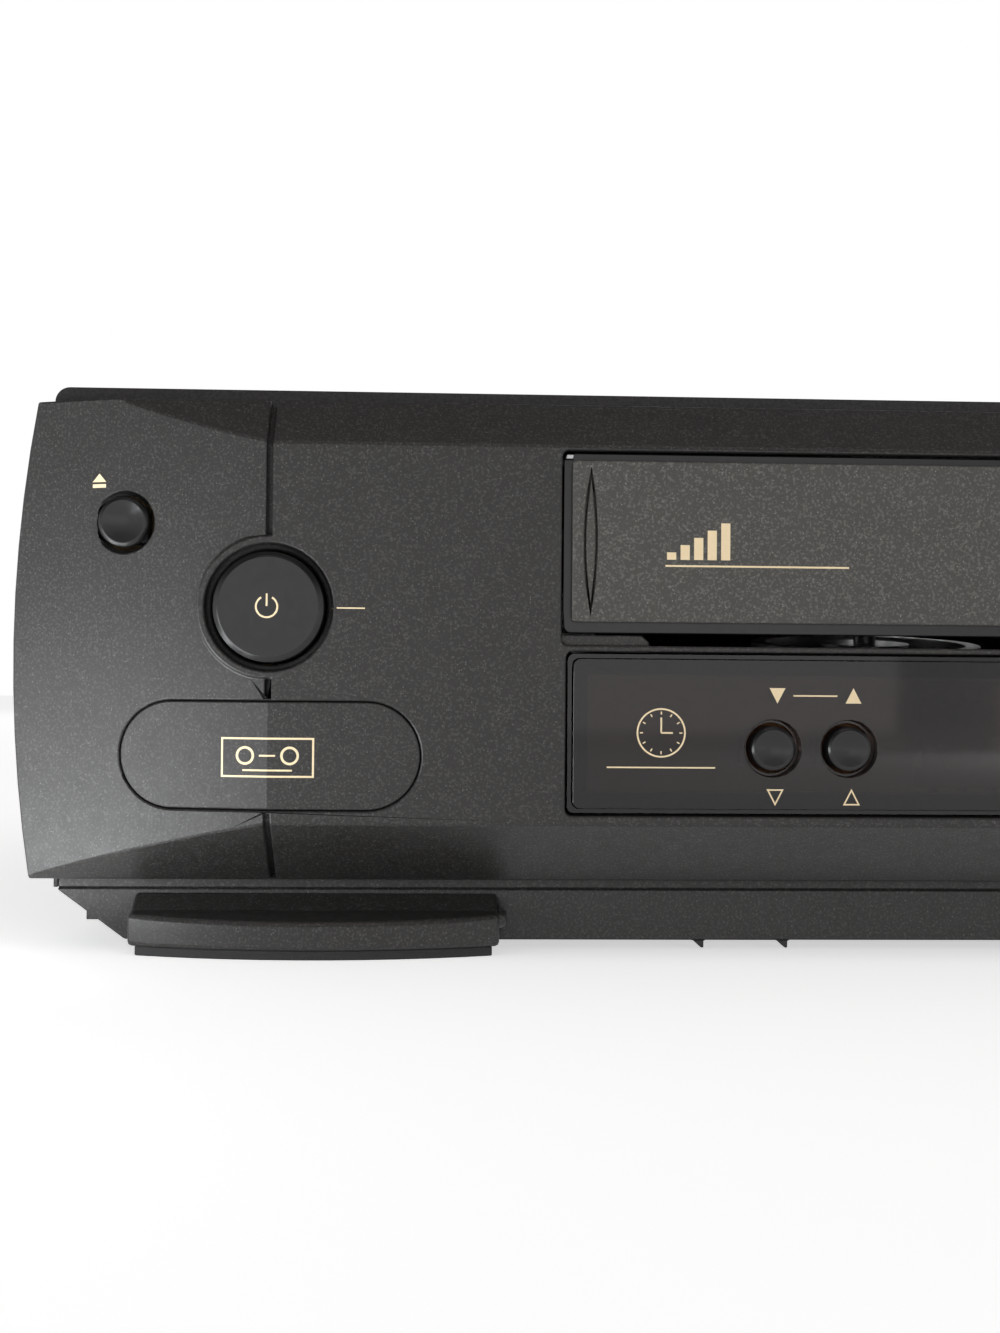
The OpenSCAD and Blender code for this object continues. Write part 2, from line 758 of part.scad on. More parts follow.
module tuner_module() {
    tip = rear_y + socket_out;
    y1 = rear_y - rear_t - 0.4;
    x0 = aerial_at[0].x - 20;
    x1 = x0 + 42;
    z0 = board_z + board_t;
    color(zinc) {
        difference() {
            block([x0, y1 - 62, z0 + 2], [x1, y1, z0 + 50]);
            block([x0 + 0.6, y1 - 61.4, z0 + 49], [x1 - 0.6, y1 - 0.6, z0 + 51]);
        }
        block([x0 + 2, y1 - 58, z0], [x1 - 4, y1 - 4, z0 + 2.1]);
        for (at = aerial_at) {
            difference() {
                union() {
                    rod_y(at.x, at.y, aerial_r, y1 - 1, tip);
                    translate([at.x, rear_y + 0.8, at.y]) rotate([90, 0, 0])
                        cylinder(r = aerial_r + 1.2, h = 2.6, $fn = 6);
                }
                rod_y(at.x, at.y, aerial_r - 1, tip - 5, tip + 1);
            }
            difference() {
                rod_y(at.x, at.y, aerial_r - 2.2, tip - 5.5, tip - 1);
                rod_y(at.x, at.y, 0.6, tip - 5, tip);
            }
        }
    }
}

module av_jacks() {
    tip = rear_y + socket_out;
    y1 = rear_y - rear_t - 0.4;
    x0 = phono_x0 - 8;
    x1 = phono_x0 + 2 * phono_pitch + 8;
    color(black_gloss) {
        block([x0, y1 - 12, board_z + board_t], [x1, y1, phono_z[1] + 9]);
        for (i = [0 : 2], z = phono_z) {
            x = phono_x0 + i * phono_pitch;
            difference() {
                rod_y(x, z, phono_r, y1 - 1, tip);
                rod_y(x, z, phono_r - 0.5, y1 + 1, tip + 1);
            }
            difference() {
                rod_y(x, z, phono_r - 0.9, y1 - 1, tip - 0.6);
                rod_y(x, z, 1.65, y1 + 1, tip);
            }
        }
    }
}

module power_inlet() {
    y1 = rear_y + 1;
    depth = 20;
    color(black_gloss) {
        difference() {
            union() {
                along_y(y1 - depth - 2, y1) translate(inlet_at) racetrack(inlet_w, inlet_h);
                block([inlet_at.x - 14, rear_y - rear_t - 3.4, board_z + board_t],
                      [inlet_at.x + 14, rear_y - rear_t - 0.4, inlet_at.y + 9]);
                block([inlet_at.x - 11, y1 - depth - 2, board_z + board_t],
                      [inlet_at.x + 11, rear_y - rear_t - 2, inlet_at.y - 2]);
            }
            along_y(y1 - depth + 6, y1 + 1) translate(inlet_at) racetrack(inlet_w - 3, inlet_h - 3);
        }
        for (s = [-1, 1])
            rod_y(inlet_at.x + s * 4.3, inlet_at.y, 1.2, y1 - depth + 5, y1 - 3.5);
    }
}

// Circuit boards

module electrolytic(at, r, h, z) {
    post(at, r, z - eps, z + h);
}

module main_board() {
    z1 = board_z + board_t;
    color(board_tan) {
        difference() {
            block([-board_x, -112, board_z], [board_split_x, 126, z1]);
            for (x = deck_column_x, y = deck_column_y) post([x, y], 4.6, board_z - 1, z1 + 1);
            // Room for the deck motors that reach down
            post(capstan_at, 27, board_z - 1, z1 + 1);
        }
        // Capacitors and coils beside the deck
        for (i = [0 : 5], j = [0 : 3])
            electrolytic([-board_x + 4 + 9 * i, -92 + 21 * j + 3 * (i % 2)], 2.6 + (i + j) % 3 * 0.6,
                         8 + (i * 2 + j) % 4 * 2, z1);
        // Chips
        for (at = [[12, 10], [34, 10], [22, 36], [48, 40]])
            block([-board_x + at.x - 8, at.y - 5, z1 - eps], [-board_x + at.x + 8, at.y + 5, z1 + 3]);
        // Connectors
        for (y = [-98, 52]) block([-deck_x - 15, y, z1 - eps], [-deck_x - 5, y + 24, z1 + 9]);
        // Low parts under the deck
        for (at = [[-60, -40], [-20, -80], [-60, 40], [40, 60]])
            block([at.x - 9, at.y - 6, z1 - eps], [at.x + 9, at.y + 6, z1 + 1.4]);
    }
}

module power_board() {
    z1 = board_z + board_t;
    mid_x = power_x0 + power_w / 2;
    sink_w = power_w - 19;
    fin_pitch = (sink_w - 2) / 8.4;
    choke_w = 16;
    fuse_x = board_x - 22;
    color(board_tan) {
        block([power_x0, -112, board_z], [board_x, 126, z1]);
        // Mains capacitors
        electrolytic([power_x0 + 17, -40], 9, 30, z1);
        electrolytic([power_x0 + 17 + 0.38 * power_w, -44], 6.5, 24, z1);
        electrolytic([board_x - 4, -40], 5, 20, z1);
        electrolytic([power_x0 + 15, -64], 5, 18, z1);
        electrolytic([mid_x, -66], 4, 14, z1);
        // Heat sink with fins
        block([mid_x - sink_w / 2, -12, z1 - eps], [mid_x + sink_w / 2, -9.5, z1 + 36]);
        for (i = [0 : 8])
            block([mid_x - sink_w / 2 + 0.5 + fin_pitch * i, -10, z1 + 3],
                  [mid_x - sink_w / 2 + 1.7 + fin_pitch * i, 2, z1 + 36]);
        // Mains choke and fuse
        block([power_x0 + 8, 92, z1 - eps], [power_x0 + 8 + choke_w, 108, z1 + 18]);
        rod_x(86, z1 + 5, 2.6, fuse_x - 10, fuse_x + 10);
        for (s = [-1, 1]) block([fuse_x + s * 7.5 - 1.5, 83, z1 - eps], [fuse_x + s * 7.5 + 1.5, 89, z1 + 7]);
    }
}

// Transformer on an E-shaped core: the middle leg and the windows are each a third.
module mains_transformer() {
    z1 = board_z + board_t;
    half = power_w / 2 - 3.5;
    c = [power_x0 + power_w / 2, 46];
    third = half / 3;
    stack = 11;
    color(steel) {
        difference() {
            block([c.x - half, c.y - stack, z1 + 2], [c.x + half, c.y + stack, z1 + 48]);
            for (s = [-1, 1])
                block([c.x + s * 1.5 * third - third / 2, c.y - stack - 1, z1 + 11],
                      [c.x + s * 1.5 * third + third / 2, c.y + stack + 1, z1 + 39]);
        }
        // Winding on the middle leg
        difference() {
            block([c.x - 2 * third + 0.6, c.y - stack - 8, z1 + 12],
                  [c.x + 2 * third - 0.6, c.y + stack + 8, z1 + 38]);
            block([c.x - third - 0.3, c.y - stack - 0.3, z1 + 11],
                  [c.x + third + 0.3, c.y + stack + 0.3, z1 + 39]);
        }
        for (s = [-1, 1])
            block([c.x + s * (half - 6) - 5, c.y - stack - 2, z1],
                  [c.x + s * (half - 6) + 5, c.y + stack + 2, z1 + 2.1]);
    }
}

// The front board is low in the middle, under the cassette, and tall at its ends.
module front_board() {
    y0 = front_board_y;
    low = bezel_z0 + 3.2;
    high = slot_z0 - 2.4;
    ends = bezel_z1 - 8;
    inner = slot_x + 7;
    outer = half_w - 11;
    color(board_tan) {
        along_y(y0, y0 + board_t) polygon([
            [-outer, low], [outer, low], [outer, ends], [inner, ends], [inner, high],
            [-inner, high], [-inner, ends], [-outer, ends]
        ]);
        block([70, y0 + board_t - eps, 18], [92, y0 + board_t + 5, 25]);
    }
}

module display_tube() {
    y1 = front_board_y;
    x0 = -38;
    x1 = 78;
    color([0.12, 0.2, 0.2]) {
        block([x0, y1 - 6.5, window_z0 + 4.4], [x1, y1 - 1.5, window_z1 - 4.4]);
        for (i = [0 : 22])
            block([x0 + 3 + 5 * i, y1 - 3, window_z0 + 2.6], [x0 + 3.8 + 5 * i, y1, window_z0 + 4.5]);
    }
}

// One small switch behind every button.
module key_switch(x, z, tip_y) {
    body = 6;
    stem_r = 1.7;
    block([x - body / 2, tip_y + 1.2, z - body / 2], [x + body / 2, front_board_y, z + body / 2]);
    rod_y(x, z, stem_r, tip_y, tip_y + 1.3);
}

// Every switch starts where the pressed button's stem ends.
switch_tip_y = front_board_y - 5;
button_stem_y = switch_tip_y - press - 0.15;
key_x = [for (s = [-1, 1]) groove_x + s * badge_w / 4];

module key_switches() {
    color(black_gloss) {
        for (s = [-1, 1]) key_switch(s * groove_x, big_z, switch_tip_y);
        for (s = [-1, 1]) key_switch(s * eject_x, eject_z, switch_tip_y);
        for (x = [channel_x, channel_x + channel_pitch]) key_switch(-x, channel_z, switch_tip_y);
        for (x = tape_key_x) key_switch(x, big_z, switch_tip_y);
        for (x = key_x) key_switch(x, badge_z, switch_tip_y);
    }
}

module ribbon_cable() {
    t = 0.5;
    y0 = front_board_y + board_t + 5;
    z0 = 21.5;
    z1 = board_z + board_t + 9;
    color([0.8, 0.8, 0.78])
        along_x(71, 91) polygon([
            [y0, z0 - t], [y0 + 4, z0 - t], [y0 + 8, z1 - 2], [y0 + 8 + t, z1 - 2 + t], [y0 + 4 + t, z0], [y0, z0]
        ]);
}

// Deck

// Path of a tape guide: an arc about a point on the far side of the drum.
guide_start = [28, -14];
guide_end = [46, 50];
guide_path_r = 90;
guide_chord = guide_end - guide_start;
guide_half = asin(norm(guide_chord) / 2 / guide_path_r);
guide_centre = (guide_start + guide_end) / 2
    + guide_path_r * cos(guide_half) * [-guide_chord.y, guide_chord.x] / norm(guide_chord);
guide_start_angle = atan2(guide_start.y - guide_centre.y, guide_start.x - guide_centre.x);

module guide_slot() {
    translate([guide_centre.x, guide_centre.y, deck_z - deck_t - 1])
        rotate([0, 0, guide_start_angle - 2]) rotate_extrude(angle = 2 * guide_half + 4, $fn = 200)
            translate([guide_path_r - 2.5, 0]) square([5, deck_t + 2]);
}

module deck_plate() {
    z0 = deck_z - deck_t;
    flange = 5;
    color(steel)
        difference() {
            union() {
                block([-deck_x, deck_y0, z0], [deck_x, deck_y1, deck_z]);
                for (y = [deck_y0, deck_y1 - 1.2])
                    block([-deck_x + 12, y, z0 - flange], [deck_x - 12, y + 1.2, z0 + eps]);
                // Short studs for the reels
                for (s = [-1, 1]) post([s * reel_x, reel_y], 2.5, deck_z - eps, deck_z + 18);
                post(pinch_pivot, 2, deck_z - eps, deck_z + 14);
                post(tension_pivot, 2, deck_z - eps, deck_z + 6);
            }
            both_sides() guide_slot();
            post(capstan_at, 7.2, z0 - 1, deck_z + 1);
            post(clutch_at, 2.05, z0 - 1, deck_z + 1);
            for (at = [[-80, -80], [80, -80], [-84, 60], [84, 60]]) post(at, 9, z0 - 1, deck_z + 1);
            for (x = deck_column_x, y = deck_column_y) post([x, y], 1.6, z0 - 1, deck_z + 1);
            block([-14, -104, z0 - 1], [14, -84, deck_z + 1]);
        }
}

// Slot cut for one guide pin: level first, then down.
module pin_slot(pin) {
    r = guide_pin_r + pin_clear;
    along_x(bracket_in_x - 1, bracket_in_x + bracket_t + 1) {
        translate([pin[0] - slide_back, pin[1] - r]) square([slide_back, 2 * r]);
        translate([pin[0] - r, pin[1] - slide_down]) square([2 * r, slide_down]);
        for (at = [[0, 0], [-slide_back, 0], [0, -slide_down]]) translate(pin + at) circle(r = r);
    }
}

module side_bracket() {
    foot = 8;
    y0 = front_pin[0] - slide_back - guide_pin_r - 3.5;
    y1 = holder_y0 + holder_d + 7;
    top = holder_z1 + 1.5;
    difference() {
        union() {
            along_x(bracket_in_x, bracket_in_x + bracket_t) polygon([
                [y0, deck_z], [y1, deck_z], [y1, top], [y0 + 26, top],
                [y0 + 13, top - 4], [y0, cassette_up_z + 8.5]
            ]);
            block([bracket_in_x, y0 + 12, deck_z], [bracket_in_x + foot, y1 - 8, deck_z + bracket_t]);
        }
        pin_slot(front_pin);
        pin_slot(rear_pin);
        // Lightening hole below the level slots
        along_x(bracket_in_x - 1, bracket_in_x + bracket_t + 1)
            translate([y0 + 10, deck_z + 9]) square([42, 18]);
    }
}

module right_side_bracket() {
    color(zinc) side_bracket();
}

module left_side_bracket() {
    color(zinc) mirror([1, 0, 0]) side_bracket();
}

module bracket_bridge() {
    z0 = holder_z1 + 1.5;
    y1 = holder_y0 + holder_d + 7;
    x = bracket_in_x + bracket_t;
    color(zinc)
        difference() {
            union() {
                block([-x, y1 - 22, z0], [x, y1, z0 + 1.2]);
                block([-x, y1 - 1.2, z0 - 4], [x, y1, z0 + eps]);
            }
            for (s = [-1, 1]) block([s * (x - 0.6) - 1.2, y1 - 2, z0 - 5], [s * (x - 0.6) + 1.2, y1 + 1, z0]);
            for (x1 = [-60, 0, 60]) post([x1, y1 - 12], 5, z0 - 1, z0 + 3);
        }
}

// Holder: ledges and side walls under a top plate, open in front and below.
module cassette_holder() {
    y0 = holder_y0;
    y1 = holder_y0 + holder_d;
    ledge = 15.5;
    z1 = holder_z1;
    color(steel) {
        difference() {
            block([-holder_out_x, y0, holder_z0], [holder_out_x, y1, z1 + holder_t]);
            block([-holder_in_x, y0 - 1, cassette_up_z], [holder_in_x, y1 - holder_t, z1]);
            block([-holder_in_x + ledge, y0 - 1, holder_z0 - 1], [holder_in_x - ledge, y1 + 1, cassette_up_z + 1]);
            // Back wall is a low stop in the middle
            block([-holder_in_x + ledge, y1 - holder_t - 1, holder_z0 - 1], [holder_in_x - ledge, y1 + 1, z1 - 7]);
            block([-holder_in_x + 26, y0 + 14, z1 - 1], [holder_in_x - 26, y1 - 16, z1 + holder_t + 1]);
            for (s = [-1, 1]) block([s * 88 - 8, y0 - 1, z1 - 1], [s * 88 + 8, y0 + 16, z1 + holder_t + 1]);
        }
        both_sides() {
            rod_x(front_pin[0], front_pin[1], guide_pin_r, holder_out_x - eps, bracket_in_x + bracket_t + 0.8);
            rod_x(rear_pin[0], rear_pin[1], guide_pin_r, holder_out_x - eps,
                  bracket_in_x + bracket_t + plate_t + 0.9);
        }
        // Leaf springs that hold the cassette down
        both_sides() along_x(80, 86)
            polygon([[y0 + 20, z1 + eps], [y0 + 44, z1 + eps], [y0 + 34, z1 - 0.45], [y0 + 30, z1 - 0.45]]);
    }
}

// Plates that slide along the brackets and carry the holder in and out. The holder
// sinks in their upright slots.
module drive_plates() {
    gap = 0.3;
    x0 = bracket_in_x + bracket_t + gap;
    half = 11;
    z0 = deck_z + bracket_t + gap;
    r = guide_pin_r + pin_clear;
    y = rear_pin[0];
    color(brass)
        both_sides() difference() {
            union() {
                along_x(x0, x0 + plate_t) polygon([
                    [y - half, z0], [y + half, z0], [y + half, rear_pin[1] + 2],
                    [y + half - 5, rear_pin[1] + 6], [y - half + 5, rear_pin[1] + 6],
                    [y - half, rear_pin[1] + 2]
                ]);
                block([x0, y - half, z0], [x0 + 5, y + half, z0 + plate_t]);
            }
            along_x(x0 - 1, x0 + plate_t + 1) {
                translate([y - r, rear_pin[1] - slide_down]) square([2 * r, slide_down]);
                for (dz = [0, -slide_down]) translate([y, rear_pin[1] + dz]) circle(r = r);
            }
        }
}

plate_t = 1.2;

// Head drum

drum_base_z = deck_z + 5;

module at_drum() {
    translate([0, drum_y, drum_base_z]) rotate([drum_tilt, 0, 0]) children();
}

lower_drum_h = 17;
upper_drum_h = 15;
drum_slit = 0.4;
drum_shaft_r = 3;
drum_fit = 0.04;

module drum_base() {
    color(zinc) {
        difference() {
            union() {
                block([-40, drum_y - 20, deck_z], [40, drum_y + 38, deck_z + 2.5]);
                for (s = [-1, 1]) block([s * 30 - 7, drum_y + 4, deck_z], [s * 30 + 7, drum_y + 28, deck_z + 3.2]);
            }
            both_sides() rotate_slot_clear();
            post([0, drum_y], 12, deck_z - 1, deck_z + 4);
            both_sides() post([34, drum_y - 14], 1.7, deck_z - 1, deck_z + 4);
        }
        // Stops that catch the guides at the end of their path
        both_sides() difference() {
            block([guide_end.x - 7, guide_end.y + 7, deck_z], [guide_end.x + 9, guide_end.y + 15, deck_z + 9]);
            post([guide_end.x, guide_end.y + 4.5], 6.5, deck_z + 3, deck_z + 12);
        }
    }
}

// Clear path of the guide's foot over the drum base.
module rotate_slot_clear() {
    translate([guide_centre.x, guide_centre.y, deck_z - 1])
        rotate([0, 0, guide_start_angle - 8]) rotate_extrude(angle = 2 * guide_half + 15, $fn = 200)
            translate([guide_path_r - 8, 0]) square([16, 6]);
}

module lower_drum() {
    color(steel)
        at_drum() difference() {
            union() {
                cylinder(r = drum_r, h = lower_drum_h, $fn = 120);
                translate([0, 0, -3.4]) cylinder(r = 11.5, h = 3.5);
            }
            translate([0, 0, -5]) cylinder(r = drum_shaft_r + drum_fit, h = lower_drum_h + 10);
            // Tape ledge cut into the front half
            translate([0, 0, -1]) difference() {
                cylinder(r = drum_r + 1, h = 3);
                translate([0, 0, -1]) cylinder(r = drum_r - 1.2, h = 5);
            }
            translate([0, 0, lower_drum_h - 5]) difference() {
                cylinder(r = drum_r - 6, h = 6);
                translate([0, 0, -1]) cylinder(r = 9, h = 8);
            }
        }
}

module upper_drum() {
    z0 = lower_drum_h + drum_slit;
    head_w = 1.6;
    color(steel)
        at_drum() {
            difference() {
                translate([0, 0, z0]) cylinder(r = drum_r, h = upper_drum_h, $fn = 120);
                // Hollow top with a central boss
                translate([0, 0, z0 + 7]) difference() {
                    cylinder(r = drum_r - 4, h = upper_drum_h);
                    translate([0, 0, -1]) cylinder(r = 12, h = upper_drum_h + 2);
                }
                for (a = [0 : 60 : 300]) rotate([0, 0, a]) translate([19, 0, z0 - 1])
                    cylinder(r = 3.2, h = upper_drum_h + 2);
                // Notches for the video heads
                for (a = [20, 50, 200, 230]) rotate([0, 0, a])
                    translate([drum_r - 2, -head_w, z0 - 1]) cube([4, 2 * head_w, 3]);
            }
            translate([0, 0, -3]) cylinder(r = drum_shaft_r, h = z0 + upper_drum_h + 6);
            for (a = [20, 50, 200, 230]) rotate([0, 0, a])
                translate([drum_r - 3, -0.4, z0 + 0.3]) cube([2.6, 0.8, 1.2]);
        }
}

module head_amplifier() {
    low = [-60, deck_y1 + 6, board_z + board_t + 4];
    high = low + [54, 26, 30];
    sheet = [0.6, 0.6, 0.6];
    color(zinc)
        difference() {
            block(low, high);
            for (i = [0 : 5], j = [0 : 2])
                post([low.x + 6 + 8.4 * i, low.y + 6 + 7 * j], 1.6, high.z - 4, high.z + 6);
            block([low.x, low.y, low.z - 1] + [sheet.x, sheet.y, 0], high - sheet);
        }
}

// Capstan, pinch roller and tape heads

capstan_r = 2;
capstan_fit = 0.03;
flywheel_z = deck_z - deck_t - 7;

module capstan_bearing() {
    color(gold)
        difference() {
            union() {
                post(capstan_at, 7, deck_z - deck_t - 2, deck_z + 10);
                post(capstan_at, 9, deck_z, deck_z + 2);
            }
            post(capstan_at, capstan_r + capstan_fit, deck_z - 10, deck_z + 12);
        }
}

module capstan() {
    z1 = flywheel_z + 4;
    color(steel) {
        post(capstan_at, capstan_r, flywheel_z - 3.5, deck_z + 32);
        difference() {
            post(capstan_at, 24, flywheel_z, z1);
            difference() {
                post(capstan_at, 20, flywheel_z - 1, flywheel_z + 1.2);
                post(capstan_at, 9, flywheel_z - 2, flywheel_z + 2);
            }
        }
        // Belt pulley under the flywheel
        difference() {
            post(capstan_at, 8, flywheel_z - 3.2, flywheel_z + eps);
            translate([capstan_at.x, capstan_at.y, flywheel_z - 1.6]) rotate_extrude()
                translate([8.4, 0]) circle(r = 1.2, $fn = 24);
        }
    }
}

pinch_pivot = [69, 18.5];
pinch_open = 12;
pinch_reach = capstan_at + [capstan_r + pinch_r + 0.1, 0] - pinch_pivot;
pinch_at = pinch_pivot + [
    pinch_reach.x * cos(pinch_open) - pinch_reach.y * sin(pinch_open),
    pinch_reach.x * sin(pinch_open) + pinch_reach.y * cos(pinch_open)
];
pinch_z = deck_z + 14;

module pinch_arm() {
    z0 = pinch_z - 3;
    color(zinc)
        difference() {
            union() {
                hull() for (at = [pinch_pivot, pinch_at]) post(at, 5, z0, z0 + 1.6);
                post(pinch_pivot, 4.2, deck_z + 0.4, pinch_z + 6);
                post(pinch_at, 1.5, z0, pinch_z + 16);
            }
            post(pinch_pivot, 2.05, deck_z - 1, pinch_z + 7);
        }
}

module pinch_roller() {
    color(rubber_black)
        difference() {
            post(pinch_at, pinch_r, pinch_z, pinch_z + 14);
            post(pinch_at, 1.54, pinch_z - 1, pinch_z + 15);
            post(pinch_at, 3.2, pinch_z + 13, pinch_z + 15);
        }
}

audio_head_at = [66, 44];

module tape_head(at, turn, w, h) {
    z0 = deck_z;
    translate([at.x, at.y, z0]) rotate([0, 0, turn]) {
        difference() {
            translate([-w / 2, -5, 0]) cube([w, 12, 2]);
            translate([w / 2 - 3, 4.5, -1]) cylinder(r = 1.2, h = 4);
        }
        translate([-w / 2 + 1.5, 0, 2 - eps]) cube([w - 3, 4, 12]);
        intersection() {
            translate([-w / 2 + 1, -4, 14 - eps]) cube([w - 2, 8, h]);
            translate([0, 6, 12]) cylinder(r = 10, h = h + 4, $fn = 64);
        }
    }
}

module audio_head() {
    color(steel) tape_head(audio_head_at, -55, 15, 15);
}

module erase_head() {
    color(black_gloss) tape_head([-66, 44], 55, 13, 14);
}

// Reels and their drive

module reel_table(side) {
    at = [side * reel_x, reel_y];
    difference() {
        union() {
            post(at, reel_rim_r, deck_z + 1, deck_z + 4);
            post(at, reel_rim_r - 3, deck_z + 3.9, deck_z + 6.5);
            post(at, 8, deck_z + 6, deck_z + 21);
            post(at, 4.5, deck_z + 20, deck_z + 25.5);
            // Three splines that enter the cassette's hub
            for (a = [0, 120, 240]) translate([at.x, at.y, deck_z + 6]) rotate([0, 0, a + 30])
                translate([7.4, -1.2, 0]) cube([3.4, 2.4, 13]);
        }
        post(at, 2.54, deck_z, deck_z + 19);
        for (a = [0 : 60 : 300])
            post(at + 15 * [cos(a), sin(a)], 2.4, deck_z, deck_z + 8);
    }
}

module supply_reel_table() {
    color([0.2, 0.2, 0.22]) reel_table(-1);
}

module take_up_reel_table() {
    color([0.2, 0.2, 0.22]) reel_table(1);
}

module clutch_pulley() {
    z_low = flywheel_z - 3.2;
    color(gold) {
        post(clutch_at, 2, z_low, deck_z + 10);
        difference() {
            post(clutch_at, 12, z_low, z_low + 3.2);
            translate([clutch_at.x, clutch_at.y, z_low + 1.6]) rotate_extrude()
                translate([12.4, 0]) circle(r = 1.2, $fn = 24);
        }
        post(clutch_at, clutch_r, deck_z + 1, deck_z + 4);
    }
}

idler_at = clutch_at + [0, -(clutch_r + idler_r + 0.3)];

module idler_arm() {
    z0 = deck_z + 5;
    color([0.85, 0.85, 0.82])
        difference() {
            union() {
                hull() for (at = [clutch_at, idler_at]) post(at, 4.5, z0, z0 + 1.4);
                post(idler_at, 1.5, deck_z + 0.6, z0 + 2.2);
            }
            post(clutch_at, 2.05, z0 - 1, z0 + 3);
        }
}

module idler_wheel() {
    color(rubber_black)
        difference() {
            post(idler_at, idler_r, deck_z + 1.2, deck_z + 3.8);
            post(idler_at, 1.54, deck_z, deck_z + 5);
        }
}

// Outline of a loop drawn round two pulleys, the second one at a distance along X.
function loop_outline(r1, r2, dist) = let(lean = asin((r2 - r1) / dist), steps = 20) concat(
    [for (i = [0 : steps]) let(a = 90 + lean + (180 - 2 * lean) * i / steps) r1 * [cos(a), sin(a)]],
    [for (i = [0 : steps])
        let(a = -90 - lean + (180 + 2 * lean) * i / steps) [dist, 0] + r2 * [cos(a), sin(a)]]
);

// Flat belt round the capstan's pulley and the clutch pulley.
module reel_belt() {
    belt_t = 0.6;
    belt_h = 1.2;
    span = clutch_at - capstan_at;
    color(rubber_black)
        translate([capstan_at.x, capstan_at.y, flywheel_z - 1.6 - belt_h / 2])
            rotate([0, 0, atan2(span.y, span.x)]) linear_extrude(belt_h) difference() {
                polygon(loop_outline(belt_r1 + belt_t, belt_r2 + belt_t, norm(span)));
                polygon(loop_outline(belt_r1, belt_r2, norm(span)));
            }
}

// Inner radius of the belt on each pulley, just off the bottom of the groove.
belt_r1 = 7.45;
belt_r2 = 11.45;

// Tape guide on the right, at the start of its path.
module tape_guide() {
    at = guide_start;
    z0 = deck_z + 0.3;
    translate([at.x, at.y, z0]) rotate([0, 0, guide_start_angle - 90]) {
        translate([-5.5, -5, 0]) cube([13.5, 10, 3]);
        translate([0, 0, -deck_t - 2.2]) cylinder(r = 2.2, h = deck_t + 2.3);
        translate([0, 0, -deck_t - 2.4]) cylinder(r = 3.6, h = 1.6);
        cylinder(r = 1.4, h = 28);
        translate([0, 0, 3.5]) cylinder(r = 4, h = 1.4);
        translate([0, 0, 7]) cylinder(r = 3.2, h = 15);
        translate([0, 0, 24]) cylinder(r = 4, h = 1.4);
        translate([5.6, 0, 2]) rotate([0, 12, 0]) cylinder(r = 1, h = 22);
    }
}

module take_up_guide() {
    color(steel) tape_guide();
}

module supply_guide() {
    color(steel) mirror([1, 0, 0]) tape_guide();
}

tension_pivot = [-80, 8];
tension_tip = [-50, -20];

module tension_arm() {
    z0 = deck_z + 2;
    color(zinc)
        difference() {
            union() {
                hull() {
                    post(tension_pivot, 4.5, z0, z0 + 1.4);
                    post(tension_tip, 2.5, z0, z0 + 1.4);
                }
                post(tension_pivot, 3.6, z0 - 1.6, z0 + 3);
                post(tension_tip, 1.5, z0, deck_z + 28);
            }
            post(tension_pivot, 2.05, deck_z - 1, deck_z + 8);
        }
}

module loading_motor() {
    at = [84, 76];
    z = deck_z + 14;
    color(steel) {
        rod_x(at.y, z, 10, 62, 92);
        rod_x(at.y, z, 3.5, 92 - eps, 94);
        // Worm on the motor's shaft
        rod_x(at.y, z, 1.5, 50, 62 + eps);
        rod_x(at.y, z, 4, 50, 60);
        block([64, at.y - 9, deck_z], [90, at.y + 9, deck_z + 6]);
    }
}

// Buttons

// A round cap with a chamfered rim and a stem. The small ones have a dished face.
module round_button(x, z, r, face_y, rim, dish = 0) {
    bowl_r = dish > 0 ? (pow(r - rim - 0.2, 2) + dish * dish) / (2 * dish) : 1;
    color(black_gloss) difference() {
        union() {
            translate([x, face_y + rim, z]) rotate([90, 0, 0]) cylinder(r1 = r, r2 = r - rim, h = rim);
            rod_y(x, z, r, face_y + rim - eps, button_stem_y - 2);
            rod_y(x, z, min(r, 2.6), button_stem_y - 2 - eps, button_stem_y);
        }
        if (dish > 0) translate([x, face_y + dish - bowl_r, z]) sphere(r = bowl_r, $fn = 96);
    }
}

module power_button() {
    round_button(-groove_x, big_z, big_cap_r, front_y - cap_proud, 0.8);
}

module play_button() {
    round_button(groove_x, big_z, big_cap_r, front_y - cap_proud, 0.8);
}

module eject_button() {
    round_button(-eject_x, eject_z, small_cap_r, cheek_y(eject_x) - 1.6, 0.5, 0.5);
}

module record_button() {
    round_button(eject_x, eject_z, small_cap_r, cheek_y(eject_x) - 1.6, 0.5, 0.5);
}

module rewind_button() {
    round_button(tape_key_x[0], big_z, small_cap_r, front_y - cap_proud, 0.5, 0.5);
}

module fast_forward_button() {
    round_button(tape_key_x[1], big_z, small_cap_r, cheek_y(tape_key_x[1]) - 1.6, 0.5, 0.5);
}

module channel_down_button() {
    round_button(-channel_x - channel_pitch, channel_z, channel_cap_r, front_y - 0.6, 0.5, 0.45);
}

module channel_up_button() {
    round_button(-channel_x, channel_z, channel_cap_r, front_y - 0.6, 0.5, 0.45);
}

// Stop and pause are the two halves of a racetrack.
module half_key(side) {
    slit = 0.6;
    color(black_gloss) {
        intersection() {
            along_y(front_y - 1, button_stem_y - 1.5) translate([groove_x, badge_z])
                racetrack(badge_w - 2 * cap_gap, badge_h - 2 * cap_gap);
            bezel_form(-0.6);
            block([side > 0 ? groove_x + slit / 2 : groove_x - badge_w, front_y - 2, 0],
                  [side > 0 ? groove_x + badge_w : groove_x - slit / 2, bezel_back_y, bezel_z1]);
        }
        rod_y(groove_x + side * badge_w / 4, badge_z, 2.6, button_stem_y - 1.6, button_stem_y);
    }
}

module stop_button() {
    half_key(-1);
}

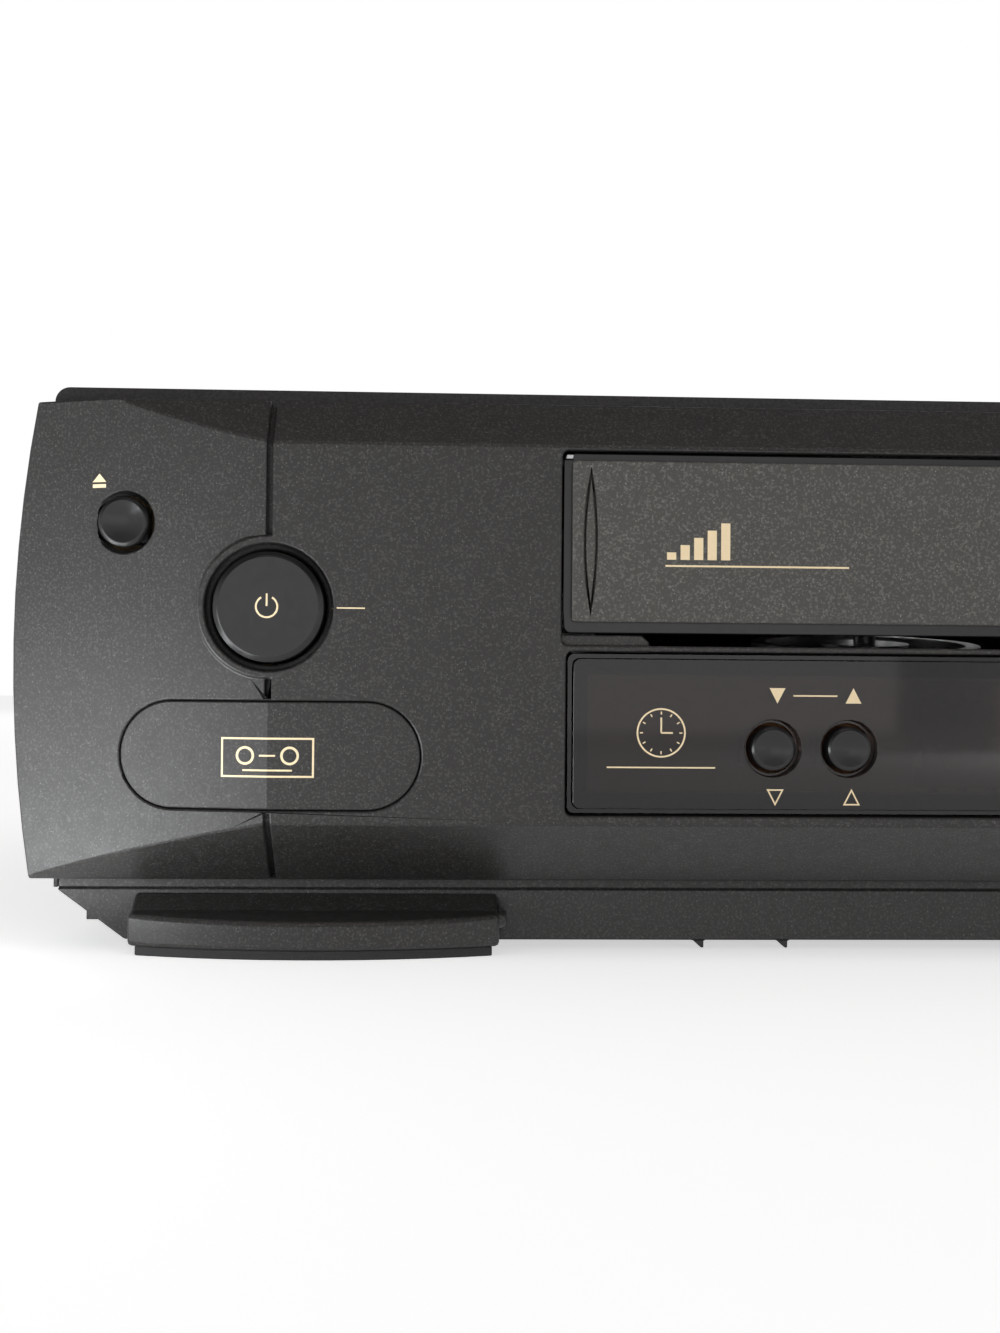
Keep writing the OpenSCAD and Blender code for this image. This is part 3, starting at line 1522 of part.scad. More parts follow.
module pause_button() {
    half_key(1);
}

bottom_chassis();
top_cover();
front_bezel();
rear_panel();
display_window();
badge_plate();
front_feet();
foot_pads();
cover_screws();
main_board();
power_board();
mains_transformer();
tuner_module();
av_jacks();
power_inlet();
front_board();
display_tube();
key_switches();
deck_plate();
left_side_bracket();
right_side_bracket();
bracket_bridge();
drum_base();
lower_drum();
capstan_bearing();
erase_head();
audio_head();
loading_motor();
head_amplifier();
reel_belt();
ribbon_cable();
door_frame();
door_panel();
cassette_holder();
drive_plates();
upper_drum();
capstan();
pinch_arm();
pinch_roller();
supply_reel_table();
take_up_reel_table();
clutch_pulley();
idler_arm();
idler_wheel();
supply_guide();
take_up_guide();
tension_arm();
power_button();
eject_button();
channel_down_button();
channel_up_button();
play_button();
rewind_button();
fast_forward_button();
record_button();
stop_button();
pause_button();
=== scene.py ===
# %% [markdown]
# # A front-loading video cassette recorder
#
# The steel and plastic parts come packed from the CAD side, each already in its place, in metres.
# This script gives them their looks: rounded edges, printed symbols, plastics, paint, smoked window
# and metals. Nothing is moved, so every piece still fits the mechanism.

import json
import math

import bmesh
import bpy
from mathutils import Matrix, Vector
from mathutils.bvhtree import BVHTree

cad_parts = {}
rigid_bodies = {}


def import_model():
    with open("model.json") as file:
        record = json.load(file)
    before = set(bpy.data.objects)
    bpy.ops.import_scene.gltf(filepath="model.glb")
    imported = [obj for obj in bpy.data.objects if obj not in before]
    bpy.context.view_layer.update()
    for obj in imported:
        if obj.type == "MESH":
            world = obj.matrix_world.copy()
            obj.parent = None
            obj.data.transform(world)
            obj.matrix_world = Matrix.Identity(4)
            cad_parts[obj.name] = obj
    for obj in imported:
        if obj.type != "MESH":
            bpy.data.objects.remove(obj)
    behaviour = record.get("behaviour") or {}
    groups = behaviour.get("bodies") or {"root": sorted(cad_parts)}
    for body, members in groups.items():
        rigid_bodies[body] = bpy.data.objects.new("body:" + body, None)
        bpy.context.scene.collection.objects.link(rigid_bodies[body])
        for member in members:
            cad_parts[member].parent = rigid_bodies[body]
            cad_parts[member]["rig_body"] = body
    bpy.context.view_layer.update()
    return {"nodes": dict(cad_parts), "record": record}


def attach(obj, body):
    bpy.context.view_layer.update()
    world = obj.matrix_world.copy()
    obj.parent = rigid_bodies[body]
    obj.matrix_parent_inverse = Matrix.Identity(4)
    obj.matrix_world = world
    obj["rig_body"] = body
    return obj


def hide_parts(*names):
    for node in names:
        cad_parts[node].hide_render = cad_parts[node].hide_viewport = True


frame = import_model()

MM = 0.001

# %% [markdown]
# ## Camera
#
# The photograph was taken from close to the left half of the front, a little below half the height of
# the recorder. The edges of the door, window, cover and feet in the picture fix the camera: about
# 264 mm in front of the recorder, turned 2.5 degrees to the right, with a lens of about 59 mm.

# %% Camera at the photograph's place
CAMERA_AT = Vector((-120.9, -409.25, 44.43)) * MM
YAW, PITCH, ROLL = (math.radians(a) for a in (-2.538, 0.747, 0.469))
SENSOR_WIDTH = 36.0
FOCAL_IN_PIXELS = 1650.6
PICTURE_WIDTH = 1000

ahead = Vector((-math.sin(YAW) * math.cos(PITCH), math.cos(YAW) * math.cos(PITCH), math.sin(PITCH)))
right = Vector((math.cos(YAW), math.sin(YAW), 0))
up = right.cross(ahead)
right, up = (
    math.cos(ROLL) * right + math.sin(ROLL) * up,
    math.cos(ROLL) * up - math.sin(ROLL) * right,
)
camera_data = bpy.data.cameras.new("camera")
camera_data.sensor_fit = "HORIZONTAL"
camera_data.sensor_width = SENSOR_WIDTH
camera_data.lens = SENSOR_WIDTH * FOCAL_IN_PIXELS / PICTURE_WIDTH
camera_data.clip_start = 0.01
camera_data.clip_end = 50
camera = bpy.data.objects.new("camera", camera_data)
bpy.context.scene.collection.objects.link(camera)
camera.matrix_world = Matrix.Translation(CAMERA_AT) @ Matrix((right, up, -ahead)).transposed().to_4x4()
bpy.context.scene.camera = camera
print("lens", round(camera_data.lens, 2), "mm")

# %% [markdown]
# ## Node materials
#
# Every finish here is a small network of shader nodes on a Principled shader. A class that adds and
# links nodes keeps each network short to write. Patterns read Object coordinates, which are metres in
# the recorder's own frame, so a noise scale of 1000 has grains of about a millimetre.

# %% A helper that builds one material's nodes
# Painted shade in a gap is at its darkest where less than the first share of the sky over it is open,
# and has no effect where more than the second share is.
SHADE_FULL_BELOW, SHADE_NONE_ABOVE = 0.15, 0.6
# The near-black colour of the painted shade deep in a gap.
PAINTED_SHADE_COLOUR = (0.0015, 0.0015, 0.0015)
GAP_ROUGHNESS = 0.95


def add_node(tree, kind, settings=(), **inputs):
    """Adds a node and fills its sockets with values or links. A socket goes by its name, with _ for a
    space, or by its number, as in _0."""
    node = tree.nodes.new(kind)
    for key, value in dict(settings).items():
        setattr(node, key, value)
    for key, value in inputs.items():
        socket = node.inputs[int(key[1:]) if key.startswith("_") else key.replace("_", " ")]
        if isinstance(value, bpy.types.NodeSocket):
            tree.links.new(value, socket)
        else:
            socket.default_value = value
    return node


class Finish:
    """One material with a Principled shader, and nodes added to it by short calls."""

    def __init__(self, name, roughness=0.5, metallic=0.0, **sockets):
        self.material = bpy.data.materials.new(name)
        self.material.use_nodes = True
        self.tree = self.material.node_tree
        self.tree.nodes.clear()
        self.shader = self.add("ShaderNodeBsdfPrincipled", Roughness=roughness, Metallic=metallic, **sockets)
        self.add("ShaderNodeOutputMaterial", Surface=self.shader.outputs[0])
        self.place = self.add("ShaderNodeTexCoord").outputs["Object"]

    def add(self, kind, settings=(), **inputs):
        return add_node(self.tree, kind, settings, **inputs)

    def feed(self, socket, value):
        self.tree.links.new(value, self.shader.inputs[socket])

    def noise(self, scale, detail=2.0, rough=0.5, stretch=None):
        place = self.place
        if stretch:
            place = self.add("ShaderNodeMapping", Vector=place, Scale=stretch).outputs[0]
        noise = self.add("ShaderNodeTexNoise", Vector=place, Scale=scale, Detail=detail, Roughness=rough)
        return noise.outputs[0]

    def specks(self, scale, size, share):
        """Round specks, one in each cell of a random pattern, of which only a share is kept."""
        cells = self.add("ShaderNodeTexVoronoi", Vector=self.place, Scale=scale)
        near = self.ramp(cells.outputs["Distance"], size * 0.6, size, 1.0, 0.0)
        chosen = self.add("ShaderNodeSeparateColor", Color=cells.outputs["Color"]).outputs[0]
        kept = self.add("ShaderNodeMath", {"operation": "LESS_THAN"}, _0=chosen, _1=share).outputs[0]
        return self.add("ShaderNodeMath", {"operation": "MULTIPLY"}, _0=near, _1=kept).outputs[0]

    def ramp(self, value, low, high, to_low, to_high):
        """Carries a value over from one range to another, and holds it at the ends."""
        return self.add(
            "ShaderNodeMapRange", Value=value, From_Min=low, From_Max=high, To_Min=to_low, To_Max=to_high
        ).outputs[0]

    def mix(self, share, a, b):
        """Two colours mixed; each is a plain one or comes from another node."""
        a, b = (colour if isinstance(colour, bpy.types.NodeSocket) else (*colour, 1.0) for colour in (a, b))
        return self.add("ShaderNodeMix", {"data_type": "RGBA"}, _0=share, _6=a, _7=b).outputs[2]

    def colour(self, value):
        self.feed("Base Color", value)

    def roughness(self, value):
        self.feed("Roughness", value)

    def painted_crevice_shade(self, colour, roughness, reach):
        """Colour and roughness as they are in the open; deep in a gap, a painted shade makes the colour
        almost black, and the roughness goes dull.
        """
        open_air = self.add("ShaderNodeAmbientOcclusion", {"samples": 8}, Distance=reach * MM).outputs["AO"]
        openness = self.ramp(open_air, SHADE_FULL_BELOW, SHADE_NONE_ABOVE, 0.0, 1.0)
        self.colour(self.mix(openness, PAINTED_SHADE_COLOUR, colour))
        self.roughness(self.ramp(openness, 0.0, 1.0, GAP_ROUGHNESS, roughness))

    def bump(self, height, strength, distance):
        node = self.add("ShaderNodeBump", Height=height, Strength=strength, Distance=distance)
        self.feed("Normal", node.outputs[0])


def srgb(r, g, b):
    """A colour given as it looks on the screen, 0 to 255, as the linear values that nodes take."""
    return tuple((c / 255 / 12.92) if c <= 10 else (((c / 255) + 0.055) / 1.055) ** 2.4 for c in (r, g, b))


print("materials can be built")

# %% [markdown]
# ## Finishes
#
# A video recorder of the nineties has a handful of finishes. The front is charcoal polystyrene with a
# fine metallic speckle, the door panel is the same in a lighter tone, buttons and door frame are
# polished, the window is smoked acrylic, and the cover is sheet steel with a grainy black paint.
# Inside there is zinc-plated steel, turned aluminium, acetal and tan circuit board.
# Each has its own small variation of colour and roughness, so that no surface is perfectly even.
# Inside a gap of a few millimetres the speckled and the polished plastics get a painted shade that turns
# them almost black, and they turn dull, so that grooves and button rings draw dark lines.

# %% Moulded and painted outside finishes
# How far, in mm, a wall casts painted shade on each plastic beside it.
PLASTIC_SHADE_REACH, POLISHED_SHADE_REACH = 3.0, 2.0  # how far, in mm, a wall darkens the plastic beside it
SKIN_DEPTH, PAINT_DEPTH = 0.00003, 0.00008  # how deep, in metres, the grain of the surface is


def speckled_plastic(name, dark, light, roughness, share):
    """Charcoal plastic: a soft mottle, a dense metallic grain, a few bright flakes and a fine skin."""
    finish = Finish(name, roughness=roughness, IOR=1.46)
    mottle = finish.mix(finish.noise(160, 3), dark, light)
    grain = finish.ramp(finish.noise(2600, 1), 0.5, 0.72, 0.0, 1.0)
    grained = finish.mix(grain, mottle, tuple(c * 1.9 + 0.006 for c in light))
    flakes = finish.specks(3000, 0.4, share)
    flaked = finish.mix(flakes, grained, tuple(c * 3 + 0.03 for c in light))
    uneven = finish.ramp(finish.noise(420, 2), 0.3, 0.7, roughness - 0.05, roughness + 0.05)
    # Painted shade: the colour darkens to near black in gaps, and the roughness goes dull there.
    finish.painted_crevice_shade(flaked, uneven, PLASTIC_SHADE_REACH)
    finish.bump(finish.noise(2600, 1), 0.5, SKIN_DEPTH)
    return finish.material


def gloss_plastic(name, colour, roughness):
    """Polished plastic: a deep colour with a trace of polishing haze."""
    finish = Finish(name, IOR=1.49)
    haze = finish.noise(90, 3)
    hazy = finish.mix(haze, colour, tuple(c * 1.35 for c in colour))
    uneven = finish.ramp(finish.noise(700, 3), 0.3, 0.7, roughness * 0.75, roughness * 1.25)
    # Painted shade: the colour darkens to near black in gaps, and the roughness goes dull there.
    finish.painted_crevice_shade(hazy, uneven, POLISHED_SHADE_REACH)
    return finish.material


def smoked_acrylic(name, tint):
    """Clear acrylic dyed almost black, so that what lies behind it only just shows."""
    finish = Finish(name, IOR=1.49, Transmission_Weight=1.0)
    finish.colour(finish.mix(finish.noise(70, 2), tint, tuple(c * 1.25 for c in tint)))
    finish.roughness(finish.ramp(finish.noise(900, 3), 0.3, 0.7, 0.03, 0.06))
    return finish.material


def grainy_paint(name, colour, grain):
    """Textured paint on steel: small soft lumps, each a little glossier on top."""
    finish = Finish(name, IOR=1.48)
    lumps = finish.noise(grain, 2, 0.4)
    finish.colour(finish.mix(lumps, tuple(c * 0.7 for c in colour), tuple(c * 1.4 for c in colour)))
    finish.roughness(finish.ramp(lumps, 0.35, 0.65, 0.62, 0.45))
    finish.bump(lumps, 0.35, PAINT_DEPTH)
    return finish.material


materials = {
    "black_case": speckled_plastic(
        "charcoal_plastic", (0.019, 0.018, 0.017), (0.027, 0.026, 0.025), roughness=0.40, share=0.05
    ),
    "grey_panel": speckled_plastic(
        "panel_plastic", (0.056, 0.054, 0.049), (0.070, 0.068, 0.062), roughness=0.44, share=0.04
    ),
    "gloss_black": gloss_plastic("polished_plastic", (0.007, 0.007, 0.0075), 0.2),
    "smoked_window": smoked_acrylic("smoked_acrylic", (0.10, 0.062, 0.052)),
    "painted_steel": grainy_paint("cover_paint", (0.020, 0.018, 0.018), 1900),
}
print("outside finishes:", ", ".join(sorted(materials)))

# %% [markdown]
# The metals share one recipe: full metallic, with a noise stretched along one direction. Stretched
# noise reads as the grain that rolling and brushing leave; a rounder one reads as a plated or turned
# surface. The plastics inside are plain, with a mottle only.

# %% Metals, plastics and boards of the inside
def metal(name, colour, roughness, stretch):
    """Bare or plated metal, with its grain drawn out along one axis."""
    finish = Finish(name, metallic=1.0)
    grain = finish.noise(300, 3, 0.6, stretch)
    finish.colour(finish.mix(grain, tuple(c * 0.86 for c in colour), colour))
    finish.roughness(finish.ramp(grain, 0.3, 0.7, roughness - 0.06, roughness + 0.08))
    return finish.material


def plain_plastic(name, colour, roughness, scale=220, change=0.82):
    """Plastic, rubber or board with a mottle whose darker parts are `change` times the colour."""
    finish = Finish(name, IOR=1.48)
    finish.colour(finish.mix(finish.noise(scale, 3), tuple(c * change for c in colour), colour))
    finish.roughness(finish.ramp(finish.noise(scale * 3, 2), 0.3, 0.7, roughness - 0.06, roughness + 0.06))
    return finish.material


def tube_glass(name, colour):
    """Glass of the display tube: dark, smooth and partly clear, with a faint green coating."""
    finish = Finish(name, roughness=0.04, IOR=1.5, Transmission_Weight=0.5)
    finish.colour(finish.mix(finish.noise(60, 2), colour, tuple(c * 1.3 for c in colour)))
    return finish.material


materials.update(
    bare_steel=metal("zinc_plated_steel", (0.60, 0.60, 0.61), 0.36, (1, 6, 1)),
    machined_aluminium=metal("turned_aluminium", (0.70, 0.70, 0.71), 0.36, (1, 1, 12)),
    brass_metal=metal("brass", (0.75, 0.59, 0.31), 0.3, (1, 1, 4)),
    black_rubber=plain_plastic("black_rubber", (0.035, 0.035, 0.035), 0.78, 900, 0.7),
    circuit_board=plain_plastic("phenolic_board", (0.43, 0.30, 0.15), 0.55, 500, 0.88),
    grey_acetal=plain_plastic("natural_acetal", (0.56, 0.56, 0.53), 0.38),
    dark_acetal=plain_plastic("black_acetal", (0.055, 0.055, 0.062), 0.40),
    flat_cable=plain_plastic("flat_cable", (0.72, 0.72, 0.70), 0.45, 900, 0.9),
    display_glass=tube_glass("tube_glass", (0.10, 0.16, 0.16)),
)
print("all finishes:", len(materials))

# %% [markdown]
# ## Dressed copies
#
# The CAD meshes are exact but their edges are knife-sharp, which no moulded or folded part is. Each
# piece is copied, its flat areas are merged into single faces, and a Bevel modifier rounds the sharp
# edges by 0.08 to 0.7 mm, or less where there is no room for it. The copy stands in for the CAD
# node on the same body.

# %% A helper that finds how far an edge can be rounded
EDGE_ANGLE = math.radians(28)
CREASE_ANGLE = math.radians(11)
FLAT_ANGLE = math.radians(1.2)
WIDEST_ROOM = 9.0  # mm, more than any rounding here needs
SIDE_BY_SIDE = 0.85  # cosine of the angle under which two edges leave a corner side by side
TURNS_OFF = 0.82  # cosine of the angle over which an edge turns off from another


def way(edge, start=None):
    """The direction of an edge, seen from one of its ends."""
    start = start or edge.verts[0]
    return (edge.other_vert(start).co - start.co).normalized()


def room_for_rounding(edge, sharp):
    """The shortest sharp edge that turns off from this one, in mm. Where two sharp edges leave a
    corner side by side there is no room at all."""
    room = WIDEST_ROOM
    for vert in edge.verts:
        for other in vert.link_edges:
            if other is edge or other not in sharp:
                continue
            if way(edge, vert).dot(way(other, vert)) > SIDE_BY_SIDE:
                return 0.0
            if abs(way(edge).dot(way(other))) < TURNS_OFF:
                room = min(room, other.calc_length() / MM)
    return room


print("edges sharper than", round(math.degrees(EDGE_ANGLE)), "degrees are rounded")

# %% [markdown]
# The mesh is cut in a few planes where a flat face has openings, because a face with holes in it
# can't be held as one polygon. The weighted normals then keep the flats evenly lit up to their edges.

# %% A helper that copies a node and rounds its edges
# What lies nearer together than these counts as one point, as no length, as one plane or as on a cut.
SAME_POINT = 0.03 * MM
NO_LENGTH = 0.015 * MM
SAME_PLANE = math.radians(0.4)
ON_THE_CUT = 0.05 * MM
FRONT_DEPTH = 0.1 * MM  # points this near to the foremost one belong to the front face
USABLE_ROOM = 0.42  # the share of the room beside an edge that its rounding may take


def dressed(node, title, slot, rounding=0.25, segments=2, sink=0.0, cuts=()):
    """A copy of a CAD node with its flats merged and its sharp edges rounded by `rounding` mm.
    `sink` mm takes the foremost face back a little, to leave room for a printed mark on it."""
    mesh = bpy.data.meshes.new(title)
    bm = bmesh.new()
    bm.from_mesh(frame["nodes"][node].data)
    bmesh.ops.remove_doubles(bm, verts=bm.verts, dist=SAME_POINT)
    bmesh.ops.dissolve_degenerate(bm, dist=NO_LENGTH, edges=bm.edges)
    bmesh.ops.dissolve_limit(bm, angle_limit=SAME_PLANE, verts=bm.verts, edges=bm.edges)
    for axis, at in cuts:
        normal = Vector([float(axis == i) for i in range(3)])
        everything = [*bm.verts, *bm.edges, *bm.faces]
        bmesh.ops.bisect_plane(
            bm, geom=everything, plane_co=normal * at * MM, plane_no=normal, dist=ON_THE_CUT
        )
    for layer in list(bm.loops.layers.uv):
        bm.loops.layers.uv.remove(layer)
    bmesh.ops.recalc_face_normals(bm, faces=bm.faces)
    bevel = bm.edges.layers.float.new("bevel_weight_edge")
    angles = {edge: edge.calc_face_angle(0) if len(edge.link_faces) == 2 else 0 for edge in bm.edges}
    sharp = {edge for edge, angle in angles.items() if angle > EDGE_ANGLE}
    for edge, angle in angles.items():
        edge.smooth = FLAT_ANGLE < angle < CREASE_ANGLE
        if edge in sharp and rounding:
            edge[bevel] = min(1.0, USABLE_ROOM * room_for_rounding(edge, sharp) / rounding)
    for face in bm.faces:
        face.smooth = True
        face.material_index = 0
    foremost = min(vert.co.y for vert in bm.verts)
    for vert in bm.verts:
        if sink and vert.co.y < foremost + FRONT_DEPTH:
            vert.co.y += sink * MM
    bm.to_mesh(mesh)
    bm.free()
    mesh.materials.append(materials[slot])
    piece = bpy.data.objects.new(title, mesh)
    bpy.context.scene.collection.objects.link(piece)
    if rounding:
        rounded = piece.modifiers.new("rounded edges", "BEVEL")
        rounded.limit_method = "WEIGHT"
        rounded.width = rounding * MM
        rounded.segments = segments
        rounded.use_clamp_overlap = False
    weighted = piece.modifiers.new("even shading", "WEIGHTED_NORMAL")
    weighted.keep_sharp = True
    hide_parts(node)
    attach(piece, frame["nodes"][node]["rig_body"])
    return piece


slot_of = {part["node"]: part["material_slot"] for part in frame["record"]["subparts"]}
print(len(slot_of), "nodes wait for their copies")

# %% [markdown]
# ## Outside pieces
#
# Every outside piece gets a rounding of its own. The front moulding has 0.3 mm and the feet, whose ends
# are soft, 0.7 mm. All the others, with the buttons and the folded steel, have 0.1 to 0.2 mm.

# %% Dress the outside pieces
OUTSIDE = {
    "front_bezel": ("front_moulding", 0.3),
    "door_frame": ("door_surround", 0.2),
    "door_panel": ("door_face", 0.2),
    "display_window": ("display_pane", 0.12),
    "badge_plate": ("badge_face", 0.2),
    "front_feet": ("foot_mouldings", 0.7),
    "foot_pads": ("rubber_pads", 0.2),
    "top_cover": ("steel_cover", 0.15),
    "rear_panel": ("back_plate", 0.12),
    "bottom_chassis": ("tray_moulding", 0.12),
    "cover_screws": ("cover_screw_heads", 0.1),
}
# The planes that part the front between its openings: an axis, 0 for x and 2 for z, and a place in mm.
FRONT_CUTS = ((0, -170.4), (0, -100), (0, 0), (0, 100), (0, 170.4), (2, 37), (2, 51), (2, 71))
outside = {
    node: dressed(node, title, slot_of[node], rounding, cuts=FRONT_CUTS if node == "front_bezel" else ())
    for node, (title, rounding) in OUTSIDE.items()
}
buttons = {
    node: dressed(node, node + "_cap", slot_of[node], rounding=0.12, sink=0.04)
    for node in slot_of
    if node.endswith("_button")
}
print("outside:", ", ".join(sorted(outside)), "and", len(buttons), "buttons")

# %% [markdown]
# ## Inside pieces
#
# The mechanism and the boards are seen when the cover is off or the door is open. They get the same
# treatment with a finer rounding.

# %% Dress the mechanism and the boards
inside = {
    node: dressed(node, node + "_finished", slot_of[node], rounding=0.08, segments=1)
    for node in sorted(slot_of)
    if node not in outside and node not in buttons
}
print("inside:", len(inside), "pieces")

# %% [markdown]
# ## Printed marks
#
# Controls carry small symbols in a warm cream ink, printed on the finished plastic. Each symbol is
# drawn flat out of circles and strips, in millimetres, then every point of it is dropped straight
# back onto the surface behind it, so that it also follows the sloping cheek.

# %% A helper that prints flat shapes on a piece
cream = Finish("cream_ink", roughness=0.5)
cream.colour(cream.mix(cream.noise(1500, 2), srgb(248, 224, 180), srgb(254, 234, 196)))
materials["cream_ink"] = cream.material
INK_PROUD = 0.02  # mm that the ink stands over the plastic
AHEAD_OF_ALL = -0.2  # a y, in metres, that lies in front of every piece
PLAYS = (0, 0.000003, -0.000007)  # small shifts of the line, in metres, tried in turn


def move(bm, verts, x, z, turn=0.0):
    """Turns new points by `turn` degrees, then takes them to x, z."""
    bmesh.ops.rotate(bm, verts=verts, cent=(0, 0, 0), matrix=Matrix.Rotation(math.radians(turn), 3, "Z"))
    bmesh.ops.translate(bm, verts=verts, vec=(x, z, 0))


def disc(bm, x, z, radius, sides=48, turn=0.0, line=None, gap=0.0):
    """A filled polygon, or its outline of width `line`; `gap` degrees at the top can be left open."""
    made = bmesh.ops.create_circle(bm, cap_ends=True, segments=sides, radius=radius)["verts"]
    faces = list({face for vert in made for face in vert.link_faces})
    if line:
        bmesh.ops.inset_region(bm, faces=faces, thickness=line, use_boundary=True, use_even_offset=True)
        bmesh.ops.delete(bm, geom=faces, context="FACES_ONLY")
        ring = {face for vert in made for face in vert.link_faces}
        made = list({vert for face in ring for vert in face.verts})
        if gap:
            middles = {face: face.calc_center_median() for face in ring}
            opened = [
                face for face, at in middles.items() if abs(math.degrees(math.atan2(at.x, at.y))) < gap / 2
            ]
            bmesh.ops.delete(bm, geom=opened, context="FACES")
            made = [vert for vert in made if vert.is_valid]
    move(bm, made, x, z, turn)


def wedge(bm, x, z, width, height, line=None):
    """A triangle that points up, or down if the height is negative, or its outline of width `line`."""
    made = bmesh.ops.create_circle(bm, cap_ends=True, segments=3, radius=1)["verts"]
    faces = list({face for vert in made for face in vert.link_faces})
    bmesh.ops.scale(bm, verts=made, vec=(width / 3**0.5, height / 1.5, 1))
    if line:
        bmesh.ops.inset_region(bm, faces=faces, thickness=line, use_boundary=True, use_even_offset=True)
        bmesh.ops.delete(bm, geom=faces, context="FACES_ONLY")
        made = list({vert for start in made for face in start.link_faces for vert in face.verts})
    move(bm, made, x, z)


def strip(bm, x, z, width, height, turn=0.0, pieces=6):
    """A filled bar, cut into pieces along its width so that it can bend over a curved surface."""
    made = bmesh.ops.create_grid(bm, x_segments=pieces, y_segments=1, size=0.5)["verts"]
    bmesh.ops.scale(bm, verts=made, vec=(width, height, 1))
    move(bm, made, x, z, turn)


def frame_line(bm, x, z, width, height, line):
    """The outline of a rectangle."""
    for side in (-1, 1):
        strip(bm, x, z + side * (height - line) / 2, width, line)
        strip(bm, x + side * (width - line) / 2, z, line, height - 2 * line, pieces=1)


def depth_at(surface, x, z):
    """The y of the first surface met by a line straight back at x, z. A hair's breadth of play in
    the line keeps it from slipping between two triangles."""
    for play in PLAYS:
        hit = surface.ray_cast(Vector((x + play, AHEAD_OF_ALL, z - play / 2)), Vector((0, 1, 0)))[0]
        if hit:
            return hit.y
    raise ValueError(f"nothing to print on at x {x:.4f}, z {z:.4f}")


def printed(title, piece, draw, ink="cream_ink"):
    """Prints what `draw` puts in a flat mesh, x to the right and y up in mm, on the front of a piece."""
    corners = [vert.co.copy() for vert in piece.data.vertices]
    surface = BVHTree.FromPolygons(corners, [list(face.vertices) for face in piece.data.polygons])
    bm = bmesh.new()
    draw(bm)
    for vert in bm.verts:
        x, z = vert.co.x * MM, vert.co.y * MM
        vert.co = Vector((x, depth_at(surface, x, z) - INK_PROUD * MM, z))
    mesh = bpy.data.meshes.new(title)
    bm.to_mesh(mesh)
    bm.free()
    mesh.materials.append(materials[ink])
    mark = bpy.data.objects.new(title, mesh)
    bpy.context.scene.collection.objects.link(mark)
    thick = mark.modifiers.new("ink thickness", "SOLIDIFY")
    thick.thickness = 2 * INK_PROUD * MM
    thick.offset = -1
    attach(mark, piece["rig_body"])
    return mark


print("ink:", materials["cream_ink"].name)

# %% [markdown]
# The left side has the eject symbol above its button, the power symbol on the large cap with a thin
# leader line beside it, and a plain picture of a cassette on the badge.

# %% Print the left half
front = outside["front_bezel"]


def eject_symbol(bm, x=-174.85, z=78.0):
    wedge(bm, x, z + 0.15, 2.4, 1.4)
    strip(bm, x, z - 0.95, 2.3, 0.6)


def power_symbol(bm, x=-146.5, z=57.1):
    disc(bm, x, z, 1.85, line=0.3, gap=62)
    strip(bm, x, z + 1.1, 0.3, 2.0, pieces=1)


def cassette_symbol(bm, x=-146.3, z=33.0, width=15.0, height=6.4):
    frame_line(bm, x, z, width, height, 0.32)
    for side in (-1, 1):
        disc(bm, x + side * 3.6, z + 0.3, 1.5, 32, line=0.4)
    strip(bm, x, z + 0.3, 2.6, 0.3, pieces=2)
    strip(bm, x, z - 2.05, 8.0, 0.3)


marks = [
    printed("eject_symbol", front, eject_symbol),
    printed("power_leader_line", front, lambda bm: strip(bm, -133.6, 57.05, 5.4, 0.22)),
    printed("power_symbol", buttons["power_button"], power_symbol),
    printed("cassette_symbol", outside["badge_plate"], cassette_symbol),
]
print("left marks:", len(marks))

# %% [markdown]
# The window has the channel triangles, filled above and outlined below, and a clock face for the
# timer. The door has a plain set of bars.

# %% Print the window and the door
pane = outside["display_window"]
door = outside["door_panel"]


def channel_triangles(bm):
    wedge(bm, -64.1, 43.95, 2.6, -2.5)
    wedge(bm, -51.65, 43.2, 2.6, 2.5)
    strip(bm, -57.9, 43.55, 7.2, 0.25)


def channel_outlines(bm):
    wedge(bm, -64.4, 27.5, 2.8, -2.7, line=0.24)
    wedge(bm, -51.9, 26.75, 2.8, 2.7, line=0.24)


def clock_symbol(bm, x=-83.0, z=37.4):
    disc(bm, x, z, 4.0, line=0.28)
    strip(bm, x, z + 1.25, 0.28, 2.5, pieces=1)
    strip(bm, x + 0.95, z, 1.9, 0.28, pieces=2)
    for hour in range(0, 360, 30):
        across, upwards = math.sin(math.radians(hour)), math.cos(math.radians(hour))
        strip(bm, x + 3.2 * across, z + 3.2 * upwards, 0.2, 0.5, turn=-hour, pieces=1)
    strip(bm, x, z - 5.6, 17.6, 0.24)


def door_bars(bm, x=-82.5, z=68.0):
    for step in range(5):
        strip(bm, x + 1.0 + step * 2.2, z - 2.6 + 0.6 * (step + 1), 1.5, 1.2 * (step + 1), pieces=1)
    strip(bm, x + 15.0, z - 3.6, 30.0, 0.3)


marks += [
    printed("channel_triangles", pane, channel_triangles),
    printed("channel_outlines", pane, channel_outlines),
    printed("clock_symbol", pane, clock_symbol),
    printed("door_bars", door, door_bars),
]
print("marks so far:", len(marks))

# %% [markdown]
# The right-hand keys have the usual tape symbols. Play, stop and pause are on their caps; rewind,
# fast-forward and record are on the front beside theirs.

# %% Print the tape symbols
def play_symbol(bm):
    disc(bm, 146.1, 57.1, 2.1, 3, turn=-90)


def winding_symbol(x, turn):
    """Two triangles in a row, which point left with a turn of 90 degrees and right with -90."""

    def draw(bm):
        for side in (-1, 1):
            disc(bm, x + side * 0.8, 64.2, 1.05, 3, turn=turn)

    return draw


